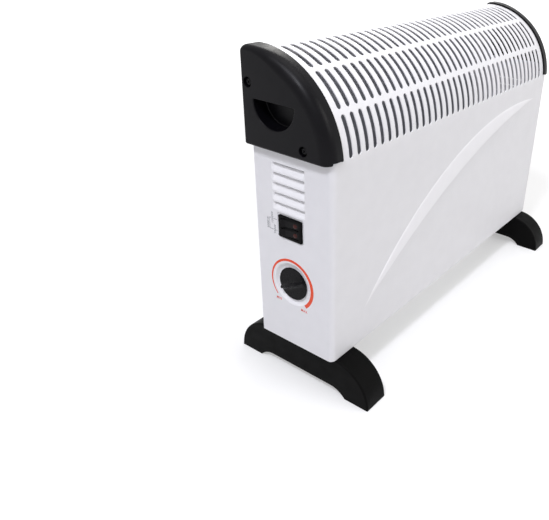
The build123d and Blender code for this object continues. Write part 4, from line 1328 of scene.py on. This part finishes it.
def build_rocker(k, z):
    """Rocker with a creased face and soft edges."""
    shape = Shape()
    width = (k.opening_height - 0.5) / 2
    filleted_block(shape, rocker_profile(), -width, width)
    place_on_rocker(shape, k, z)
    return shape


PIVOT_DEPTH = 3.7


def place_on_rocker(shape, k, z):
    """Move a shape from a rocker's own view to its place: x is height, y along, z outwards."""
    pivot_x = SWITCH_LOW.x + PIVOT_DEPTH
    tilt = radians(k.rocker_tilt)
    along = Vector((-sin(tilt), cos(tilt), 0.0))
    out = Vector((-cos(tilt), -sin(tilt), 0.0))
    shape.points = [tuple(Vector((pivot_x, SWITCH_Y, z + a)) + along * b + out * c)
                    for a, b, c in shape.points]


LENS_PROFILE = ((1.0, -1.6), (1.0, 0.02), (0.97, 0.22), (0.9, 0.34), (0.8, 0.36), (0.74, 0.46), (0.6, 0.62),
                (0.42, 0.75), (0.2, 0.82))


def build_lens(k, z):
    """Domed pilot lens with a small shoulder."""
    shape = Shape()
    surface = VALLEY + (LEFT_TOP - VALLEY) * (CREASE + k.lens_offset) / (CREASE + LEFT_REACH)
    shape.solid([[(a, b - k.lens_offset, surface + rise) for a, b in circle(k.lens_radius * share, 40)]
                 for share, rise in LENS_PROFILE])
    place_on_rocker(shape, k, z)
    return shape


# Printing

# From the knob's middle: words, their place along Y and Z, length, height, ink and turn
SCALE_WORDS = {
    "scale_min": ("MIN", (20.9, -26.2), 7.5, 3.4, "scale", 0),
    "scale_max": ("MAX", (-16.8, -28.6), 9.0, 3.4, "scale", 0),
}
# From the legend's middle, the same
LEGEND_WORDS = {
    "legend_1250": ("1250W", (0.9, 6.1), 12.9, 2.6, "legend", 90),
    "legend_750": ("750W", (-2.7, -7.0), 10.6, 2.6, "legend", 90),
    "legend_2000": ("2000W", (7.4, -1.5), 13.4, 2.6, "legend", 90),
}
# From the legend's middle: both ends of each line
LEGEND_LINES = {
    "legend_upper_tick": ((-5.6, 5.3), (-1.2, 5.3)),
    "legend_upper_arm": ((2.9, 5.3), (5.3, 5.3)),
    "legend_bar": ((5.1, 5.07), (5.1, -7.57)),
    "legend_lower_arm": ((5.3, -7.8), (-0.9, -7.8)),
    "legend_lower_tick": ((-4.5, -7.8), (-5.7, -7.8)),
}
STRIP_WIDTH = 0.45
SUNK = 0.05


def printed(outline, rise):
    """Thin printed patch on the left end, let into the paint a little."""
    shape = Shape()
    back, front = -CASING_HIGH.x + SUNK, -CASING_HIGH.x - rise
    for x in (back, front):
        shape.flat(outline, [], lambda a, b, x=x: (x, a, b))
    shape.loft([at_x(back, outline), at_x(front, outline)], closed=True)
    return shape


ARC_WIDTHS = ((-132.5, 1.2), (-90, 1.9), (0, 3.1), (90, 4.15), (139.7, 4.1))


def scale_arc(k):
    """Printed arc that widens from its cold end to its hot end."""
    outer, inner = [], []
    for angle in between(ARC_WIDTHS[0][0], ARC_WIDTHS[-1][0], 120):
        for (a, wide), (b, next_wide) in zip(ARC_WIDTHS, ARC_WIDTHS[1:]):
            if a <= angle <= b:
                width = wide + (next_wide - wide) * (angle - a) / (b - a)
        t = radians(angle)
        for loop, radius in ((outer, k.scale_radius), (inner, k.scale_radius - width)):
            loop.append((KNOB_Y - radius * sin(t), KNOB_Z + radius * cos(t)))
    return outer + inner[::-1]


def print_strip(name, a, b, k):
    """Thin straight printed line from a to b."""
    start, end = Vector(a), Vector(b)
    side = (end - start).normalized().orthogonal() * STRIP_WIDTH / 2
    loop = [tuple(p) for p in (start + side, end + side, end - side, start - side)]
    make_piece(name, printed(loop, k.print_rise), "casing", ["legend"])


FACING_LEFT = Matrix(((0, 0, -1, 0), (-1, 0, 0, 0), (0, 1, 0, 0), (0, 0, 0, 1)))
LETTER_SIZE = 1.38
LETTER_SINK = 0.04


def print_words(name, words, centre, length, height, ink, turned, k):
    """Printed letters fitted to a length and a height; turned is anticlockwise, seen from outside."""
    curve = bpy.data.curves.new(name, "FONT")
    curve.body = words
    curve.align_x = "CENTER"
    curve.align_y = "CENTER"
    curve.size = height * LETTER_SIZE * MM
    curve.offset = height * 0.012 * MM
    curve.extrude = 0.5 * (k.print_rise + LETTER_SINK) * MM
    curve.space_character = 1.12
    curve.resolution_u = 6
    letters = add_object(name, curve)
    mesh = finished_mesh(letters)
    bpy.data.objects.remove(letters)
    spots = [p.co for p in mesh.vertices]
    wide = max(p.x for p in spots) - min(p.x for p in spots)
    tall = max(p.y for p in spots) - min(p.y for p in spots)
    middle = Vector((-CASING_HIGH.x - 0.5 * (k.print_rise - LETTER_SINK), *centre)) * MM
    for change in (Matrix.Diagonal((length * MM / wide, height * MM / tall, 1, 1)),
                   Matrix.Rotation(radians(turned), 4, "Z"), FACING_LEFT, Matrix.Translation(middle)):
        mesh.transform(change)
    mesh.materials.clear()
    mesh.materials.append(FINISHES[ink])
    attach(add_object(name, mesh), "casing")


def print_table(table, middle_y, middle_z, k):
    """Print every word of a table round a point on the left end."""
    for name, (words, (y, z), *how) in table.items():
        print_words(name, words, (middle_y + y, middle_z + z), *how, k)


# Operators

SIDES = ((-1, "left"), (1, "right"))


class HEATER_OT_finishes(Operator):
    """Make every finish and give the frame's own parts theirs"""
    bl_idname = "heater.finishes"
    bl_label = "Finishes"

    def execute(self, context):
        require_frame()
        make_finishes(context.scene.heater_colours)
        for node, name in NODE_FINISHES.items():
            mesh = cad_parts[node].data
            mesh.materials.clear()
            mesh.materials.append(FINISHES[name])
        return {"FINISHED"}


class HEATER_OT_casing(Operator):
    """Build the painted casing with its slots, louvres, dish and crescent"""
    bl_idname = "heater.casing"
    bl_label = "Casing"

    def execute(self, context):
        c = millimetres(context.scene.heater_casing)
        # The second finish, the crescent paint, is the whiter paint laid on as a painted highlight
        make_piece("casing_shell", build_casing(c), "casing", ["casing", "crescent"],
                   ["front_casing"], sheet=c.sheet)
        return {"FINISHED"}


class HEATER_OT_caps(Operator):
    """Build both end caps"""
    bl_idname = "heater.caps"
    bl_label = "End caps"

    def execute(self, context):
        m = millimetres(context.scene.heater_mouldings)
        for side, name in SIDES:
            make_piece(f"{name}_cap_shell", build_cap(m, side), "casing", ["plastic"],
                       [f"{name}_end_cap"])
        return {"FINISHED"}


class HEATER_OT_feet(Operator):
    """Build both feet"""
    bl_idname = "heater.feet"
    bl_label = "Feet"

    def execute(self, context):
        m = millimetres(context.scene.heater_mouldings)
        for side, name in SIDES:
            shape, hollow = build_foot(m, side)
            make_piece(f"{name}_foot_moulding", shape, "casing", ["foot"], [f"{name}_foot"],
                       cut=hollow)
        return {"FINISHED"}


class HEATER_OT_screws(Operator):
    """Build the screws of the caps"""
    bl_idname = "heater.screws"
    bl_label = "Screws"

    def execute(self, context):
        low, _ = node_box("cap_screws")
        shape = Shape()
        for side, _ in SIDES:
            for y, z in cap_screw_places():
                add_cross_screw(shape, (side * (-low.x - HEAD_HEIGHT), y, z), (-side, 0, 0))
        make_piece("cap_screw_heads", shape, "casing", ["dark_screw"], ["cap_screws"])
        return {"FINISHED"}


class HEATER_OT_switch(Operator):
    """Build the switch bezel, both rockers and their lenses"""
    bl_idname = "heater.switch"
    bl_label = "Switch"

    def execute(self, context):
        k = millimetres(context.scene.heater_controls)
        make_piece("switch_bezel", build_bezel(k), "casing", ["bezel"], ["switch_housing"],
                   sharp=50)
        for name in ("upper", "lower"):
            _, z = middle_of(*node_box(f"{name}_rocker"))
            body = f"rocker_{name}"
            make_piece(f"{name}_rocker_key", build_rocker(k, z), body, ["rocker"],
                       [f"{name}_rocker"], sharp=24)
            make_piece(f"{name}_pilot_lens", build_lens(k, z), body, ["lens"], [f"{name}_lens"])
        return {"FINISHED"}


class HEATER_OT_knob(Operator):
    """Build the thermostat knob, its shaft and its pointer dot"""
    bl_idname = "heater.knob"
    bl_label = "Knob"

    def execute(self, context):
        k = millimetres(context.scene.heater_controls)
        make_piece("knob_moulding", build_knob(k), "knob", ["knob"], ["thermostat_knob"],
                   sharp=45)
        make_piece("shaft_stem", build_stem(k), "knob", ["steel"], ["thermostat_shaft"])
        make_piece("knob_pointer_dot", build_knob_dot(k), "knob", ["dark_screw"])
        return {"FINISHED"}


class HEATER_OT_printing(Operator):
    """Print the widening arc, its two words and the switch legend"""
    bl_idname = "heater.printing"
    bl_label = "Printing"

    def execute(self, context):
        k = millimetres(context.scene.heater_controls)
        make_piece("scale_arc", printed(scale_arc(k), k.print_rise), "casing", ["scale"])
        print_table(SCALE_WORDS, KNOB_Y, KNOB_Z, k)
        legend_y = SWITCH_Y + k.legend_shift
        for name, ends in LEGEND_LINES.items():
            print_strip(name, *[(legend_y + y, SWITCH_Z + z) for y, z in ends], k)
        print_table(LEGEND_WORDS, legend_y, SWITCH_Z, k)
        return {"FINISHED"}


class HEATER_OT_studio(Operator):
    """Make the floor, the light and the camera"""
    bl_idname = "heater.studio"
    bl_label = "Studio"

    def execute(self, context):
        studio = context.scene.heater_studio
        make_floor()
        make_world(studio)
        make_lamps(studio)
        make_camera()
        context.scene.view_settings.view_transform = "Standard"
        return {"FINISHED"}


def seen_directly(tree):
    """1 for rays from the camera, a reflection or clear plastic, and 0 for rays that only carry light."""
    camera, gloss, clear = (add_node(tree, "LightPath", {}, f"Is {kind} Ray")
                            for kind in ("Camera", "Glossy", "Transmission"))
    seen = add_node(tree, "Math", {0: camera, 1: gloss}, "Value", operation="MAXIMUM")
    return add_node(tree, "Math", {0: seen, 1: clear}, "Value", operation="MAXIMUM")


WHITE = (1.0, 1.0, 1.0, 1.0)
FLOOR_RADII = (400, 1200, 3000, 8000)
FLOOR_GREYS = ((0.62, 0.62, 0.62, 1.0), (0.64, 0.64, 0.64, 1.0))


def make_floor():
    """Plain pale floor that keeps the heater's shadow and is whiter further out."""
    shape = Shape()
    shape.solid([[(*p, 0.0) for p in circle(radius, 64)] for radius in FLOOR_RADII], ends=[0])
    mesh = bpy.data.meshes.new("studio_floor")
    mesh.from_pydata([Vector(p) * MM for p in shape.points], [], shape.faces)
    material, tree, shader = new_material("floor")
    drift = spread(tree, noise(tree, 2.0), 0.0, 1.0)
    place = add_node(tree, "NewGeometry", {}, "Position")
    away = add_node(tree, "VectorMath", {0: place}, "Value", operation="LENGTH")
    glow = {0: seen_directly(tree), 1: spread(tree, away, 0.40, 1.0, 0.8, 2.2)}
    feed(tree, shader, {
        "Base Color": mix_colour(tree, drift, *FLOOR_GREYS),
        "Roughness": 0.9,
        "Specular IOR Level": 0.0,
        "Emission Color": WHITE,
        "Emission Strength": add_node(tree, "Math", glow, "Value", operation="MULTIPLY"),
    })
    mesh.materials.append(material)
    add_object("studio_floor", mesh)


SKY_LOW = (0.64, 0.635, 0.64, 1.0)
SKY_LEFT = (0.60, 0.60, 0.76, 1.0)


def make_world(studio):
    """White behind the heater, and a soft sky for the light, brighter above and cooler on the left."""
    world = bpy.data.worlds.new("studio world")
    bpy.context.scene.world = world
    world.use_nodes = True
    tree = world.node_tree
    tree.nodes.clear()
    place = {"Vector": add_node(tree, "TexCoord", {}, "Generated")}
    across, up = (add_node(tree, "SeparateXYZ", place, axis) for axis in "XZ")
    tone = mix_colour(tree, spread(tree, up, 0.0, 1.0, 0.0, 1.0), SKY_LOW, WHITE)
    tone = mix_colour(tree, spread(tree, across, 0.35, 0.0, -1.0, 0.1), tone, SKY_LEFT)
    sky = add_node(tree, "Background", {"Color": tone, "Strength": studio.sky}, "Background")
    white = add_node(tree, "Background", {"Color": WHITE, "Strength": 1.0}, "Background")
    mixed = add_node(tree, "MixShader", {"Fac": seen_directly(tree), 1: sky, 2: white}, "Shader")
    feed(tree, tree.nodes.new("ShaderNodeOutputWorld"), {"Surface": mixed})


# Each lamp: place, point it is aimed at, width and tint
LAMPS = {
    "overhead": ((0.0, -0.1, 2.2), (0.0, 0.0, 0.3), 1.2, (1.0, 1.0, 0.99)),
    "key": ((-1.55, -0.29, 2.35), (-0.2, 0.0, 0.3), 0.35, (0.91, 0.92, 1.0)),
    "fill": ((0.5, -2.0, 1.6), (0.0, 0.0, 0.25), 1.2, (1.0, 0.985, 0.975)),
    "rim": ((1.6, 1.25, 1.45), (-0.1, 0.0, 0.35), 0.8, (1.0, 0.985, 0.95)),
}


def make_lamps(studio):
    """A lamp overhead, a small one on the left, a soft one in front and one behind the right end."""
    for name, (place, aim, width, tint) in LAMPS.items():
        lamp = bpy.data.lights.new(name, "AREA")
        lamp.shape = "SQUARE"
        lamp.size = width
        lamp.energy = getattr(studio, name)
        lamp.color = tint
        made = add_object(name, lamp)
        made.location = place
        made.rotation_euler = (Vector(aim) - Vector(place)).to_track_quat("-Z", "Y").to_euler()


PHOTO_WIDTH, PHOTO_HEIGHT = 549, 520
FOCAL_PIXELS = 606.5
CENTRE_X, CENTRE_Y = 376.8, 229.7
SENSOR_WIDTH = 36.0
CAMERA_PLACE = (-680.7, -394.1, 495.5)
AZIMUTH, FALL, ROLL = 55.36, 27.13, -2.41


def make_camera():
    """Camera at the photograph's place, with the photograph's focal length and optical centre."""
    azimuth, fall, roll = radians(AZIMUTH), radians(FALL), radians(ROLL)
    ahead = Vector((cos(fall) * sin(azimuth), cos(fall) * cos(azimuth), -sin(fall)))
    right = Vector((cos(azimuth), -sin(azimuth), 0.0))
    down = ahead.cross(right)
    across = right * cos(roll) + down * sin(roll)
    lower = down * cos(roll) - right * sin(roll)
    turned = Matrix((across, -lower, -ahead)).transposed().to_4x4()
    camera = bpy.data.cameras.new("camera")
    camera.sensor_width = SENSOR_WIDTH
    camera.lens = FOCAL_PIXELS / PHOTO_WIDTH * SENSOR_WIDTH
    camera.shift_x = (PHOTO_WIDTH / 2 - CENTRE_X) / PHOTO_WIDTH
    camera.shift_y = (CENTRE_Y - PHOTO_HEIGHT / 2) / PHOTO_WIDTH
    camera.clip_start, camera.clip_end = 0.01, 50.0
    made = add_object("camera", camera)
    made.matrix_world = Matrix.Translation(Vector(CAMERA_PLACE) * MM) @ turned
    bpy.context.scene.camera = made


OPERATORS = (HEATER_OT_finishes, HEATER_OT_casing, HEATER_OT_caps, HEATER_OT_feet, HEATER_OT_screws,
             HEATER_OT_switch, HEATER_OT_knob, HEATER_OT_printing, HEATER_OT_studio)


class HEATER_PT_panel(Panel):
    """The heater's pieces, sizes and colours"""
    bl_idname = "HEATER_PT_panel"
    bl_label = "Convector heater"
    bl_space_type = "VIEW_3D"
    bl_region_type = "UI"
    bl_category = "Heater"

    def draw(self, context):
        layout = self.layout
        for operator in OPERATORS:
            layout.operator(operator.bl_idname)
        for group in GROUPS:
            settings = getattr(context.scene, group)
            box = layout.box()
            box.label(text=type(settings).__doc__)
            for name in type(settings).__annotations__:
                box.prop(settings, name)


GROUPS = {
    "heater_casing": HeaterCasing, "heater_mouldings": HeaterMouldings, "heater_controls": HeaterControls,
    "heater_colours": HeaterColours, "heater_studio": HeaterStudio,
}


def register():
    """Register every class and hang the settings on the scene."""
    for made in (*GROUPS.values(), *OPERATORS, HEATER_PT_panel):
        bpy.utils.register_class(made)
    for name, made in GROUPS.items():
        setattr(bpy.types.Scene, name, PointerProperty(type=made))


def unregister():
    """Take everything off again."""
    for name in GROUPS:
        delattr(bpy.types.Scene, name)
    for made in (HEATER_PT_panel, *reversed(OPERATORS), *reversed(list(GROUPS.values()))):
        bpy.utils.unregister_class(made)


def main():
    """Build the heater and its studio."""
    register()
    bpy.ops.heater.finishes()
    bpy.ops.heater.casing()
    bpy.ops.heater.caps()
    bpy.ops.heater.feet()
    bpy.ops.heater.screws()
    bpy.ops.heater.switch()
    bpy.ops.heater.knob()
    bpy.ops.heater.printing()
    bpy.ops.heater.studio()


if __name__ == "__main__":
    main()
